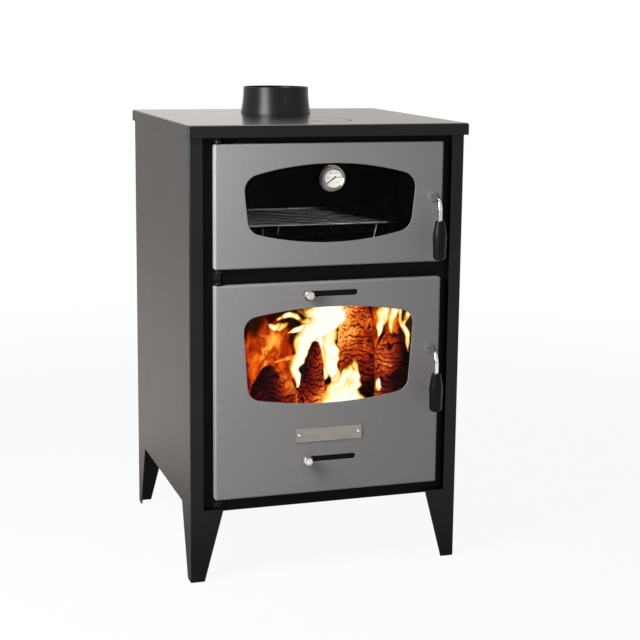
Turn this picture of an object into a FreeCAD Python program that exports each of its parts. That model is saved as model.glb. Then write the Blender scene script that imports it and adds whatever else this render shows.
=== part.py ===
import FreeCAD, Part
import math
import os
from FreeCAD import Vector

os.makedirs("parts", exist_ok=True)

# All sizes in millimetres: x to the right, y from the front to the back, z up from the floor.

# Cabinet
body_width = 480.0
body_depth = 460.0
box_bottom = 125.0          # floor to the underside of the cabinet
side_sheet = 2.0
side_bend = 3.0             # outside radius of a fold
jamb_bend = 1.5             # and of the fold from a post back to the frame
post_width = 22.5           # front return of each side sheet
rear_return = 35.0
frame_recess = 10.0         # front frame behind the face of the posts
frame_sheet = 3.0
frame_drop = 6.0            # front frame below the cabinet's underside, behind the legs' tops
rear_sheet = 1.5
base_sheet = 2.0

# Legs, cut from the side sheets
leg_front_top = 57.0        # width across the front where a leg leaves the cabinet
leg_side_top = 67.0
leg_foot = 24.0             # width of both faces at the floor

# Cooking top
top_sheet = 3.0
top_bend = 4.0
lip_height = 20.0
side_overhang = 4.0
front_overhang = 12.0
rear_overhang = 4.0
hotplate_dia = 134.0
hotplate_front = 108.0      # hotplate centre behind the face of the posts
hotplate_gap = 2.0          # open ring round the lid
lid_plug_depth = 8.0        # thicker middle of the lid, below its rim
seat_lap = 10.0             # seat ring under the lid's rim
seat_width = 22.0
seat_sheet = 4.0
lifter_length = 22.0
lifter_width = 8.0
lifter_depth = 4.0
lifter_offset = 30.0        # lifter slot in front of the lid's centre

# Flue collar
flue_dia = 120.0            # outside of the collar's straight land
flue_base_dia = 130.0
flue_wall = 3.0
flue_height = 48.0
flue_land = 4.0
flue_back = 132.0           # collar axis in front of the cabinet's back
flare_steps = 8             # facets of the collar's flare

# Inner walls, oven and firebox
cavity_gap = 30.0           # between an inner wall and the side sheet
inner_sheet = 2.5
rear_gap = 27.0             # smoke wall to the cabinet's back
oven_depth = 287.0
hearth_height = 109.0       # underside of the cabinet to the hearth plate
hearth_sheet = 4.0
grate_width = 230.0
grate_front = 67.0          # grate opening behind the front frame
grate_back = 42.5           # grate opening to the rear bricks
grate_rim = 10.0
grate_rim_height = 6.0
grate_thick = 18.0
grate_gap = 2.0
grate_slot = 9.0
grate_bar = 11.0
brick_thick = 28.0
brick_height = 190.0
brick_front = 50.0          # side bricks behind the front frame
brick_joint = 1.0
brick_chamfer = 2.5
side_bricks = 2
back_bricks = 3
guard_width = 300.0
guard_height = 46.0
guard_front = 18.0          # log guard behind the front frame
guard_foot = 26.0
guard_sheet = 3.0
guard_bend = 6.0

# Ash pan
pan_width = 260.0
pan_back = 42.5             # pan to the smoke wall
pan_height = 88.0
pan_sheet = 1.5
pan_bend = 5.0
pan_front = 45.0            # pan behind the front frame
pan_handle_width = 110.0
pan_handle_reach = 22.0
pan_handle_dia = 7.0
pan_handle_drop = 28.0      # handle below the rim of the pan

# Doors
door_side_gap = 18.0        # post to door edge
door_top_gap = 11.0         # lip of the cooking top to the oven door
door_gap = 27.0             # between the two doors
door_bottom_gap = 18.5      # underside of the cabinet to the firebox door
oven_door_height = 205.0
fire_door_height = 365.5
door_depth = 14.0
door_proud = 8.0            # door face in front of the posts
door_sheet = 2.0
door_bend = 3.0
door_lap = 12.0             # door edge over the frame opening
rim_width = 10.0            # ledge that carries the rope seal
rim_sheet = 2.0
seal_dia = 6.0
seal_gap = 0.4              # shut seal to the frame
seat_gap = 0.1
seal_corner = 9.0

# Windows
window_side = 48.0          # door edge to the widest part of the window
window_lean = 9.0           # how far each side leans in at the bottom
oven_window_top = 33.0      # door edge to the window
oven_window_bottom = 40.0
oven_top_sag = 24.0
oven_bottom_sag = 20.0
oven_corner = 27.0
fire_window_top = 42.0
fire_window_bottom = 156.5
fire_top_sag = 16.5
fire_bottom_sag = 15.0
fire_corner = 25.0
glass_thick = 4.0
glass_lap = 7.0             # glass behind the window's edge
clip_width = 14.0
clip_foot = 12.0
clip_sheet = 1.5
clip_lap = 6.0              # clip over the glass
clip_gap = 1.0
clip_spread = 0.28          # clip heights either side of the middle, as a share of the glass

# Hinges
hinge_inset = 7.0           # pin axis in from the door's edge
hinge_forward = 2.0         # pin axis in front of the posts' face
hinge_pin_dia = 6.0
hinge_clearance = 0.06
hinge_gap = 2.5             # door edge to lug
hinge_float = 0.1           # door edge to the pin's shoulder
lug_thick = 3.0
lug_radius = 6.0
lug_flange = 14.0
pin_head = 2.0
pin_shoulder_dia = 10.0
hinge_block = 8.0
pin_depth = 7.0             # pin inside the door's block

# Handles
handle_inset = 19.5         # shaft in from the door's edge
oven_handle_drop = 93.0     # shaft below the oven door's top edge
fire_handle_drop = 124.0
handle_reach = 37.0         # door face to the hanging arm
rod_dia = 7.0
rod_bend = 20.0
rod_clearance = 0.06
rod_inner = 11.0            # shaft behind the front frame's face
bush_dia = 13.0
bush_flange_dia = 17.0
bush_flange = 1.5
bush_length = 11.0
grip_drop = 37.0            # shaft down to the top of the grip
grip_length = 66.0
grip_dia = 24.0
grip_neck_dia = 16.0
grip_flat = 23.0            # across the flats of the eight-sided barrel
grip_shoulder = 0.4         # where the barrel is full, as a share of its length
grip_hole = 50.0
tongue_length = 24.0
tongue_width = 9.0
tongue_thick = 4.0
tongue_corner = 2.5
tongue_hub_dia = 12.0
tongue_gap = 1.0            # tongue behind the frame

# Air slides in the firebox door
slot_length = 97.0
slot_width = 10.0
upper_slot_drop = 19.5      # slot below the door's top edge
lower_slot_rise = 59.5      # slot above the door's bottom edge
slide_length = 150.0
slide_height = 14.0
slide_sheet = 1.5
slide_gap = 0.2
slide_left = 22.0           # plate past the knob on its shut side
guide_wall = 3.0
guide_lip = 2.5
guide_sheet = 1.5
knob_dia = 18.0
knob_neck_dia = 11.0
knob_stud_dia = 5.0
knob_length = 19.5
knob_end_gap = 5.0          # stud to the slot's end
knob_gap = 0.4              # collar to the door

# Name plate, left bare
plate_width = 118.0
plate_height = 24.0
plate_sheet = 1.0
plate_rise = 102.5          # plate's middle above the door's bottom edge
plate_corner = 1.5

# Oven thermometer
meter_gap = 3.0             # flange below the window's top edge
meter_flange_dia = 44.0
meter_flange = 1.5
meter_case_dia = 38.0
meter_case_depth = 6.5      # closed part of the case, behind the dial
meter_rim_depth = 3.9
meter_wall = 1.2
meter_dial = 0.6
meter_lens = 0.8
meter_bezel_lap = 2.4
meter_bezel_wall = 0.8
meter_bezel_face = 1.2
meter_stem_dia = 6.0
meter_stem_length = 42.0
meter_stem_gap = 0.3
meter_nut = 4.5
meter_nut_dia = 14.0
needle_length = 14.0
needle_tail = 5.0
needle_width = 1.4
needle_sheet = 0.4
needle_lift = 0.8           # needle above the dial
needle_hub_dia = 4.0
needle_shaft_dia = 1.2
needle_clearance = 0.05
needle_shaft = 2.0
needle_angle = 215.0        # where the needle points, anticlockwise from the right

# Oven rack
rack_width = 310.0
rack_front = 40.0           # front rod behind the front frame
rack_back = 22.0            # rear rod to the oven's back
rack_height = 50.0          # oven floor to the rods' axis
rack_frame_dia = 5.0
rack_bar_dia = 2.0
rack_bars = 10
rack_corner = 12.0
rack_leg_at = 88.0          # legs either side of the middle
rack_leg_top = 15.0         # half the width of a leg at the rack
rack_leg_foot = 5.0
rack_leg_gap = 0.3

# Places that follow from the sizes
half_body = body_width / 2
fire_door_bottom = box_bottom + door_bottom_gap
fire_door_top = fire_door_bottom + fire_door_height
oven_door_bottom = fire_door_top + door_gap
oven_door_top = oven_door_bottom + oven_door_height
top_height = oven_door_top + door_top_gap + lip_height      # floor to the cooking surface
under_top = top_height - top_sheet
door_half = half_body - post_width - door_side_gap
open_half = door_half - door_lap
cavity_half = half_body - side_sheet - cavity_gap

reach_front = door_proud + handle_reach + grip_flat / 2
reach_back = body_depth + rear_overhang
post_y = (reach_front - reach_back) / 2      # face of the posts, with the whole part centred on y = 0
back_y = post_y + body_depth
door_y = post_y - door_proud
door_in_y = door_y + door_sheet
door_back_y = door_y + door_depth
frame_y = post_y + frame_recess
frame_back_y = frame_y + frame_sheet
rear_y = back_y - side_sheet - rear_sheet
smoke_y = back_y - rear_gap - inner_sheet
rim_y = frame_y - seal_gap - seal_dia - seat_gap
hinge_y = post_y - hinge_forward
hinge_x = hinge_inset - door_half
handle_x = door_half - handle_inset
arm_y = door_y - handle_reach

oven_open_top = oven_door_top - door_lap
oven_open_bottom = oven_door_bottom + door_lap
fire_open_top = fire_door_top - door_lap
fire_open_bottom = fire_door_bottom + door_lap
oven_handle_z = oven_door_top - oven_handle_drop
fire_handle_z = fire_door_top - fire_handle_drop
upper_slot_z = fire_door_top - upper_slot_drop
lower_slot_z = fire_door_bottom + lower_slot_rise
oven_back_y = frame_back_y + oven_depth
base_z = box_bottom + base_sheet
hearth_z = box_bottom + hearth_height
hearth_top = hearth_z + hearth_sheet
flue_y = back_y - flue_back
hotplate_y = post_y + hotplate_front
meter_z = oven_door_top - oven_window_top - meter_gap - meter_flange_dia / 2
knob_x = knob_stud_dia / 2 + knob_end_gap - slot_length / 2
slide_travel = slot_length - knob_stud_dia - 2 * knob_end_gap
pan_front_y = frame_back_y + pan_front
rack_y = frame_back_y + rack_front
rack_back_y = oven_back_y - rack_back
rack_z = oven_open_bottom + rack_height

x_axis = Vector(1, 0, 0)
y_axis = Vector(0, 1, 0)
z_axis = Vector(0, 0, 1)
overrun = 5.0               # how far a cutter passes the face that it cuts
full_round = 0.49           # corner radius of a rounded end, as a share of its width


def box(x0, x1, y0, y1, z0, z1):
    return Part.makeBox(x1 - x0, y1 - y0, z1 - z0, Vector(x0, y0, z0))


def rod(radius, start, end):
    run = end - start
    return Part.makeCylinder(radius, run.Length, start, run)


def runs_along(edge, axis):
    run = edge.Vertexes[-1].Point - edge.Vertexes[0].Point
    return run.Length > 0 and abs(run.dot(axis)) > 0.999 * run.Length


def prism(points, run):
    return Part.Face(Part.makePolygon(points + points[:1])).extrude(run)


def inside_bend(bend, sheet):
    # Radius inside a fold whose outside radius is bend
    return max(bend - sheet, sheet / 3)


def tray(low, high, sheet, bend, mouth):
    # Folded sheet with rounded edges, open on the side that the vector mouth points out of
    def block(near, far, radius):
        size = far - near
        solid = Part.makeBox(size.x, size.y, size.z, near)
        open_at = max(near.dot(mouth), far.dot(mouth))
        closed = [e for e in solid.Edges if e.CenterOfMass.dot(mouth) < open_at - sheet / 4]
        return solid.makeFillet(radius, closed)

    skin = Vector(sheet, sheet, sheet)
    near, far = low + skin, high - skin
    if mouth.dot(Vector(1, 1, 1)) > 0:
        far += mouth * (2 * sheet)
    else:
        near += mouth * (2 * sheet)
    return block(low, high, bend).cut(block(near, far, inside_bend(bend, sheet)))


def plan_revolve(profile, centre):
    # Turned piece on an upright axis, from (radius, height) pairs
    points = [centre + Vector(r, 0, z) for r, z in profile]
    face = Part.Face(Part.makePolygon(points + points[:1]))
    return face.revolve(centre, z_axis, 360)


def front_revolve(profile, centre):
    # Turned piece on an axis from front to back, from (radius, depth) pairs
    points = [centre + Vector(r, y, 0) for r, y in profile]
    face = Part.Face(Part.makePolygon(points + points[:1]))
    return face.revolve(centre, y_axis, 360)


def wire_sweep(edges, radius):
    path = Part.Wire(edges)
    start = edges[0].Vertexes[0].Point
    ahead = edges[0].tangentAt(edges[0].FirstParameter)
    section = Part.Wire(Part.makeCircle(radius, start, ahead))
    return path.makePipeShell([section], True, False)


def line(start, end):
    return Part.LineSegment(start, end).toShape()


def corner_arc(corner, before, after, radius):
    # Quarter bend inside a right-angled corner
    towards = (before - corner).normalize() * radius
    away = (after - corner).normalize() * radius
    middle = corner + (towards + away) * (1 - math.sqrt(0.5))
    return Part.Arc(corner + towards, middle, corner + away).toShape()


def rounded_loop(corners, radius):
    # Closed rectangular path with rounded corners
    edges = []
    for i, corner in enumerate(corners):
        after = corners[(i + 1) % len(corners)]
        ahead = (after - corner).normalize() * radius
        edges.append(corner_arc(corner, corners[i - 1], after, radius))
        edges.append(line(corner + ahead, after - ahead))
    return edges


def save(name, *solids):
    shape = solids[0] if len(solids) == 1 else Part.makeCompound(list(solids))
    if not shape.isValid():
        raise RuntimeError(name + " is not a valid shape")
    shape.exportStep("parts/" + name + ".step")


# Cabinet: folded side sheets with their legs, frame, base, back and top

def side_panel():
    # The left sheet: an upright channel whose folds run down into the two legs
    outer_x = -half_body
    inner_x = outer_x + leg_front_top
    outside = box(outer_x, inner_x, post_y, back_y, 0, under_top)
    folds = [e for e in outside.Edges
             if runs_along(e, z_axis) and e.CenterOfMass.x < outer_x + side_sheet / 2]
    outside = outside.makeFillet(side_bend, folds)
    inside = box(outer_x + side_sheet, inner_x + overrun, post_y + side_sheet, back_y - side_sheet,
                 -overrun, under_top + overrun)
    folds = [e for e in inside.Edges
             if runs_along(e, z_axis) and e.CenterOfMass.x < outer_x + 2 * side_sheet]
    sheet = outside.cut(inside.makeFillet(inside_bend(side_bend, side_sheet), folds))
    middle_y = post_y + body_depth / 2
    post_x = outer_x + post_width
    above_front = box(post_x, inner_x + overrun, post_y - overrun, middle_y, box_bottom, under_top + overrun)
    above_rear = box(outer_x + rear_return, inner_x + overrun, middle_y, back_y + overrun,
                     box_bottom, under_top + overrun)
    across = Vector(0, body_depth + 2 * overrun, 0)
    front_taper = prism([Vector(inner_x, post_y - overrun, box_bottom),
                         Vector(outer_x + leg_foot, post_y - overrun, 0),
                         Vector(outer_x + leg_foot, post_y - overrun, -overrun),
                         Vector(inner_x + overrun, post_y - overrun, -overrun),
                         Vector(inner_x + overrun, post_y - overrun, box_bottom)], across)
    side_gap = prism([Vector(outer_x - overrun, post_y + leg_side_top, box_bottom),
                      Vector(outer_x - overrun, post_y + leg_foot, 0),
                      Vector(outer_x - overrun, post_y + leg_foot, -overrun),
                      Vector(outer_x - overrun, back_y - leg_foot, -overrun),
                      Vector(outer_x - overrun, back_y - leg_foot, 0),
                      Vector(outer_x - overrun, back_y - leg_side_top, box_bottom)],
                     Vector(side_sheet + 2 * overrun, 0, 0))
    for cutter in (above_front, above_rear, front_taper, side_gap):
        sheet = sheet.cut(cutter)
    jamb = box(post_x - side_sheet, post_x, post_y, frame_y, box_bottom, under_top)
    edge = [e for e in jamb.Edges if runs_along(e, z_axis)
            and e.CenterOfMass.x > post_x - side_sheet / 2 and e.CenterOfMass.y < post_y + side_sheet / 2]
    return sheet.fuse(jamb.makeFillet(jamb_bend, edge)).removeSplitter()


left_panel = side_panel()
right_panel = left_panel.mirror(Vector(0, 0, 0), x_axis)
save("left_side_panel", left_panel)
save("right_side_panel", right_panel)

web_x = half_body - side_sheet
front_frame = box(-web_x, web_x, frame_y, frame_back_y, box_bottom - frame_drop, under_top)
for low, high in ((oven_open_bottom, oven_open_top), (fire_open_bottom, fire_open_top)):
    front_frame = front_frame.cut(box(-open_half, open_half, frame_y - overrun, frame_back_y + overrun,
                                      low, high))
save("front_frame", front_frame)
save("base_plate", box(-web_x, web_x, frame_back_y, rear_y, box_bottom, base_z))
rear_half = web_x - inside_bend(side_bend, side_sheet)
save("rear_panel", box(-rear_half, rear_half, rear_y, rear_y + rear_sheet, box_bottom, under_top))

hotplate_centre = Vector(0, hotplate_y, 0)
flue_centre = Vector(0, flue_y, 0)
lid_r = hotplate_dia / 2
flue_r = flue_dia / 2
flue_base_r = flue_base_dia / 2
cooktop = tray(Vector(-half_body - side_overhang, post_y - front_overhang, top_height - lip_height),
               Vector(half_body + side_overhang, back_y + rear_overhang, top_height),
               top_sheet, top_bend, -z_axis)
lower = Vector(0, 0, under_top - overrun)
upper = Vector(0, 0, top_height + overrun)
cooktop = cooktop.cut(rod(lid_r + hotplate_gap, hotplate_centre + lower, hotplate_centre + upper))
cooktop = cooktop.cut(rod(flue_base_r, flue_centre + lower, flue_centre + upper))
save("cooktop", cooktop)

seat_r = lid_r - seat_lap
seat_z = under_top - seat_sheet
seat_outer = seat_r + seat_width
save("hotplate_seat", plan_revolve([(seat_r, seat_z), (seat_outer, seat_z), (seat_outer, under_top),
                                    (seat_r, under_top)], hotplate_centre))
lid = plan_revolve([(0, under_top - lid_plug_depth), (seat_r - 2 * hotplate_gap, under_top - lid_plug_depth),
                    (seat_r - hotplate_gap, under_top), (lid_r, under_top),
                    (lid_r, top_height - hotplate_gap / 2), (lid_r - hotplate_gap / 2, top_height),
                    (0, top_height)], hotplate_centre)
slot_y = hotplate_y - lifter_offset
lifter = box(-lifter_length / 2, lifter_length / 2, slot_y - lifter_width / 2, slot_y + lifter_width / 2,
             top_height - lifter_depth, top_height + overrun)
lifter = lifter.makeFillet(lifter_width * full_round, [e for e in lifter.Edges if runs_along(e, z_axis)])
save("hotplate_lid", lid.cut(lifter))

flue_top = top_height + flue_height
flue_bore = flue_r - flue_wall
land_z = flue_top - flue_land
flare_in, flare_rise = flue_base_r - flue_r, land_z - top_height
flare_r = (flare_in ** 2 + flare_rise ** 2) / (2 * flare_in)     # arc that leaves the land without a step
flare_turn = math.asin(flare_rise / flare_r)
flare = [(flue_r + flare_r * (1 - math.cos(flare_turn * (1 - i / flare_steps))),
          land_z - flare_r * math.sin(flare_turn * (1 - i / flare_steps))) for i in range(flare_steps + 1)]
save("flue_collar", plan_revolve([(flue_bore, under_top), (flue_base_r, under_top)] + flare
                                 + [(flue_r, flue_top), (flue_bore, flue_top)], flue_centre))

# Inner walls, oven box and firebox

for side, name in ((-1, "inner_left_wall"), (1, "inner_right_wall")):
    near, far = sorted((side * cavity_half, side * (cavity_half + inner_sheet)))
    save(name, box(near, far, frame_back_y, smoke_y, base_z, under_top))
wall_half = cavity_half + inner_sheet
save("smoke_wall", box(-wall_half, wall_half, smoke_y, smoke_y + inner_sheet, base_z, under_top))

oven_wall_y = oven_back_y + inner_sheet
save("oven_floor", box(-cavity_half, cavity_half, frame_back_y, oven_wall_y,
                       oven_open_bottom - inner_sheet, oven_open_bottom))
save("oven_roof", box(-cavity_half, cavity_half, frame_back_y, oven_wall_y,
                      oven_open_top, oven_open_top + inner_sheet))
save("oven_back", box(-cavity_half, cavity_half, oven_back_y, oven_wall_y, oven_open_bottom, oven_open_top))

grate_y0 = frame_back_y + grate_front
grate_y1 = smoke_y - brick_thick - grate_back
grate_half = grate_width / 2
hearth = box(-cavity_half, cavity_half, frame_back_y, smoke_y, hearth_z, hearth_top)
save("hearth_plate", hearth.cut(box(-grate_half, grate_half, grate_y0, grate_y1,
                                    hearth_z - overrun, hearth_top + overrun)))


def fire_grate():
    # Cast grate: a rim on the hearth, a body that drops through it, and rows of slots
    rim = box(-grate_half - grate_rim, grate_half + grate_rim, grate_y0 - grate_rim, grate_y1 + grate_rim,
              hearth_top, hearth_top + grate_rim_height)
    top = hearth_top + grate_rim_height
    body = box(-grate_half + grate_gap, grate_half - grate_gap, grate_y0 + grate_gap, grate_y1 - grate_gap,
               top - grate_thick, top)
    grate = rim.fuse(body).removeSplitter()
    pitch = grate_slot + grate_bar
    count = int((grate_width - 2 * grate_gap - grate_bar) / pitch)
    middle_y = (grate_y0 + grate_y1) / 2
    run = (grate_y1 - grate_y0) / 2 - grate_gap - 1.5 * grate_bar
    for i in range(count):
        x = (i - (count - 1) / 2) * pitch
        for y0, y1 in ((middle_y - run, middle_y - grate_bar / 2), (middle_y + grate_bar / 2, middle_y + run)):
            grate = grate.cut(box(x - grate_slot / 2, x + grate_slot / 2, y0, y1,
                                  top - grate_thick - overrun, top + overrun))
    return grate


save("fire_grate", fire_grate())


def brick(x0, x1, y0, y1):
    block = box(x0, x1, y0, y1, hearth_top, hearth_top + brick_height)
    upper_edges = [e for e in block.Edges if e.CenterOfMass.z > hearth_top + brick_height / 4]
    return block.makeChamfer(brick_chamfer, upper_edges)


brick_y0 = frame_back_y + brick_front
brick_y1 = smoke_y - brick_thick - brick_joint
side_length = (brick_y1 - brick_y0 + brick_joint) / side_bricks
for side, name in ((-1, "left_firebricks"), (1, "right_firebricks")):
    near, far = sorted((side * cavity_half, side * (cavity_half - brick_thick)))
    starts = [brick_y0 + i * side_length for i in range(side_bricks)]
    save(name, *[brick(near, far, y, y + side_length - brick_joint) for y in starts])
back_length = (2 * cavity_half + brick_joint) / back_bricks
starts = [i * back_length - cavity_half for i in range(back_bricks)]
save("rear_firebricks", *[brick(x, x + back_length - brick_joint, smoke_y - brick_thick, smoke_y)
                          for x in starts])


def log_guard():
    # Bent plate that stands on the hearth and keeps the logs off the door
    y0 = frame_back_y + guard_front
    top = hearth_top + guard_height
    outside = box(-guard_width / 2, guard_width / 2, y0, y0 + guard_foot, hearth_top, top)
    fold = [e for e in outside.Edges if runs_along(e, x_axis)
            and e.CenterOfMass.y < y0 + guard_sheet and e.CenterOfMass.z < hearth_top + guard_sheet]
    outside = outside.makeFillet(guard_bend, fold)
    inside = box(-guard_width / 2 - overrun, guard_width / 2 + overrun, y0 + guard_sheet,
                 y0 + guard_foot + overrun, hearth_top + guard_sheet, top + overrun)
    fold = [e for e in inside.Edges if runs_along(e, x_axis)
            and e.CenterOfMass.y < y0 + 2 * guard_sheet and e.CenterOfMass.z < hearth_top + 2 * guard_sheet]
    plate = outside.cut(inside.makeFillet(inside_bend(guard_bend, guard_sheet), fold))
    corners = [e for e in plate.Edges if runs_along(e, y_axis)
               and e.CenterOfMass.z > top - guard_sheet / 2]
    return plate.makeFillet(guard_height / 3, corners)


save("log_guard", log_guard())

# Ash pan with its bent-wire handle

pan_half = pan_width / 2
pan_back_y = smoke_y - pan_back
save("ash_pan", tray(Vector(-pan_half, pan_front_y, base_z), Vector(pan_half, pan_back_y, base_z + pan_height),
                     pan_sheet, pan_bend, z_axis))
pull_z = base_z + pan_height - pan_handle_drop
pull_half = pan_handle_width / 2
pull_y = pan_front_y - pan_handle_reach + pan_handle_dia / 2
pull_bend = pan_handle_dia * 1.5
left_out, right_out = Vector(-pull_half, pull_y, pull_z), Vector(pull_half, pull_y, pull_z)
left_in, right_in = Vector(-pull_half, pan_front_y, pull_z), Vector(pull_half, pan_front_y, pull_z)
save("ash_pan_handle", wire_sweep([line(left_in, left_out + y_axis * pull_bend),
                                   corner_arc(left_out, left_in, right_out, pull_bend),
                                   line(left_out + x_axis * pull_bend, right_out - x_axis * pull_bend),
                                   corner_arc(right_out, left_out, right_in, pull_bend),
                                   line(right_out + y_axis * pull_bend, right_in)], pan_handle_dia / 2))

# Doors: what both have in common

pin_r = hinge_pin_dia / 2
rod_r = rod_dia / 2


def window_shape(top, bottom, top_sag, bottom_sag, corner, y0, y1):
    # Barrel-shaped opening: bowed top and bottom, sides that lean in downwards
    top_half = door_half - window_side
    bottom_half = top_half - window_lean
    right_top = Vector(top_half, y0, top - top_sag)
    left_top = Vector(-top_half, y0, top - top_sag)
    right_low = Vector(bottom_half, y0, bottom + bottom_sag)
    left_low = Vector(-bottom_half, y0, bottom + bottom_sag)
    edges = [Part.Arc(left_top, Vector(0, y0, top), right_top).toShape(),
             line(right_top, right_low),
             Part.Arc(right_low, Vector(0, y0, bottom), left_low).toShape(),
             line(left_low, left_top)]
    opening = Part.Face(Part.Wire(edges)).extrude(y_axis * (y1 - y0))
    upright = (right_top - right_low).Length
    radius = min(corner, upright * full_round)
    return opening.makeFillet(radius, [e for e in opening.Edges if runs_along(e, y_axis)])


def hinge_holes(low, high):
    return rod(pin_r + hinge_clearance, Vector(hinge_x, hinge_y, low - overrun),
               Vector(hinge_x, hinge_y, high + overrun))


def door_panel(low, high, handle_z):
    panel = tray(Vector(-door_half, door_y, low), Vector(door_half, door_back_y, high),
                 door_sheet, door_bend, y_axis)
    shaft = rod(bush_dia / 2, Vector(handle_x, door_y - overrun, handle_z),
                Vector(handle_x, door_in_y + overrun, handle_z))
    return panel.cut(hinge_holes(low, high)).cut(shaft)


def seal_rim(low, high):
    # Flat ledge welded inside the door's edge for the rope seal
    half = door_half - door_sheet
    z0, z1 = low + door_sheet, high - door_sheet
    outer = box(-half, half, rim_y - rim_sheet, rim_y, z0, z1)
    corners = [e for e in outer.Edges if runs_along(e, y_axis)]
    outer = outer.makeFillet(inside_bend(door_bend, door_sheet), corners)
    return outer.cut(box(-half + rim_width, half - rim_width, rim_y - rim_sheet - overrun, rim_y + overrun,
                         z0 + rim_width, z1 - rim_width))


def rope_seal(low, high):
    half = door_half - door_sheet - rim_width / 2
    z0, z1 = low + door_sheet + rim_width / 2, high - door_sheet - rim_width / 2
    y = rim_y + seat_gap + seal_dia / 2
    corners = [Vector(-half, y, z0), Vector(half, y, z0), Vector(half, y, z1), Vector(-half, y, z1)]
    return wire_sweep(rounded_loop(corners, seal_corner), seal_dia / 2)


def glass_pane(top, bottom):
    half = door_half - window_side + glass_lap
    return box(-half, half, door_in_y, door_in_y + glass_thick, bottom - glass_lap, top + glass_lap)


def glass_clips(top, bottom):
    # Stepped sheet clips, two on each side of the pane
    edge = door_half - window_side + glass_lap
    foot_y = door_in_y + clip_sheet
    lip_y = door_in_y + glass_thick
    riser = edge + clip_gap
    outline = [(riser + clip_foot, door_in_y), (riser, door_in_y), (riser, lip_y), (edge - clip_lap, lip_y),
               (edge - clip_lap, lip_y + clip_sheet), (riser + clip_sheet, lip_y + clip_sheet),
               (riser + clip_sheet, foot_y), (riser + clip_foot, foot_y)]
    height = top - bottom
    clips = []
    for share in (-clip_spread, clip_spread):
        z = (top + bottom - clip_width) / 2 + share * height
        for side in (-1, 1):
            clips.append(prism([Vector(side * x, y, z) for x, y in outline], z_axis * clip_width))
    return clips


def hinge_blocks(low, high):
    # Thick corners inside the door that the hinge pins turn in
    x0 = door_sheet - door_half
    x1 = 2 * hinge_x - x0
    y1 = hinge_y + (hinge_y - door_in_y)
    blocks = []
    for z0, z1 in ((low + door_sheet, low + door_sheet + hinge_block),
                   (high - door_sheet - hinge_block, high - door_sheet)):
        block = box(x0, x1, door_in_y, min(y1, rim_y - rim_sheet), z0, z1)
        block = block.makeFillet(inside_bend(door_bend, door_sheet), block.Edges)
        blocks.append(block.cut(hinge_holes(low, high)))
    return blocks


def handle_bush(z):
    inner = rod_r + rod_clearance
    return front_revolve([(inner, door_y - bush_flange), (bush_flange_dia / 2, door_y - bush_flange),
                          (bush_flange_dia / 2, door_y), (bush_dia / 2, door_y),
                          (bush_dia / 2, door_y + bush_length), (inner, door_y + bush_length)],
                         Vector(handle_x, 0, z))


# Handles: a bent rod, an eight-sided grip and a latch tongue behind the frame

def handle_rod(z):
    inner = Vector(handle_x, frame_y + rod_inner, z)
    elbow = Vector(handle_x, arm_y, z)
    end = Vector(handle_x, arm_y, z - grip_drop - grip_hole)
    return wire_sweep([line(inner, elbow + y_axis * rod_bend), corner_arc(elbow, inner, end, rod_bend),
                       line(elbow - z_axis * rod_bend, end)], rod_r)


def handle_grip(z):
    top = z - grip_drop
    bottom = top - grip_length
    full_r, neck_r = grip_dia / 2, grip_neck_dia / 2
    shoulder = top - grip_shoulder * grip_length
    rounding = full_r / 4
    axis = Vector(handle_x, arm_y, 0)
    barrel = plan_revolve([(0, bottom), (full_r - 1.5 * rounding, bottom),
                           (full_r - rounding / 2, bottom + rounding), (full_r, shoulder),
                           (neck_r, top - rounding / 3), (neck_r - rounding / 3, top), (0, top)], axis)
    circle_r = grip_flat / 2 / math.cos(math.pi / 8)
    corners = [axis + Vector(circle_r * math.cos((i + 0.5) * math.pi / 4),
                             circle_r * math.sin((i + 0.5) * math.pi / 4), bottom - overrun) for i in range(8)]
    flats = prism(corners, z_axis * (grip_length + 2 * overrun))
    hole = rod(rod_r, axis + z_axis * (top - grip_hole), axis + z_axis * (top + overrun))
    return barrel.common(flats).cut(hole)


def latch_tongue(z):
    y0 = frame_back_y + tongue_gap
    half = tongue_width / 2
    end = box(handle_x - half, handle_x + half, y0, y0 + tongue_thick, z - tongue_length, z)
    hub = rod(tongue_hub_dia / 2, Vector(handle_x, y0, z), Vector(handle_x, y0 + tongue_thick, z))
    hole = rod(rod_r, Vector(handle_x, y0 - overrun, z), Vector(handle_x, y0 + tongue_thick + overrun, z))
    tip = [e for e in end.Edges if runs_along(e, y_axis) and e.CenterOfMass.z < z - half]
    return end.makeFillet(tongue_corner, tip).fuse(hub).cut(hole).removeSplitter()


for door, z in (("oven", oven_handle_z), ("fire", fire_handle_z)):
    save(door + "_handle_bush", handle_bush(z))
    save(door + "_handle_rod", handle_rod(z))
    save(door + "_handle_grip", handle_grip(z))
    save(door + "_latch_tongue", latch_tongue(z))

# Oven door and its thermometer

oven_window_z1 = oven_door_top - oven_window_top
oven_window_z0 = oven_door_bottom + oven_window_bottom
oven_window = window_shape(oven_window_z1, oven_window_z0, oven_top_sag, oven_bottom_sag, oven_corner,
                           door_y - overrun, door_in_y + overrun)
save("oven_door_panel", door_panel(oven_door_bottom, oven_door_top, oven_handle_z).cut(oven_window))
save("oven_door_rim", seal_rim(oven_door_bottom, oven_door_top))
save("oven_door_seal", rope_seal(oven_door_bottom, oven_door_top))
save("oven_hinge_blocks", *hinge_blocks(oven_door_bottom, oven_door_top))
save("oven_glass_clips", *glass_clips(oven_window_z1, oven_window_z0))

stem_r = meter_stem_dia / 2
meter_axis = Vector(0, 0, meter_z)
stem_hole = rod(stem_r + meter_stem_gap, Vector(0, door_y - overrun, meter_z),
                Vector(0, door_in_y + glass_thick + overrun, meter_z))
save("oven_glass", glass_pane(oven_window_z1, oven_window_z0).cut(stem_hole))

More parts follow.
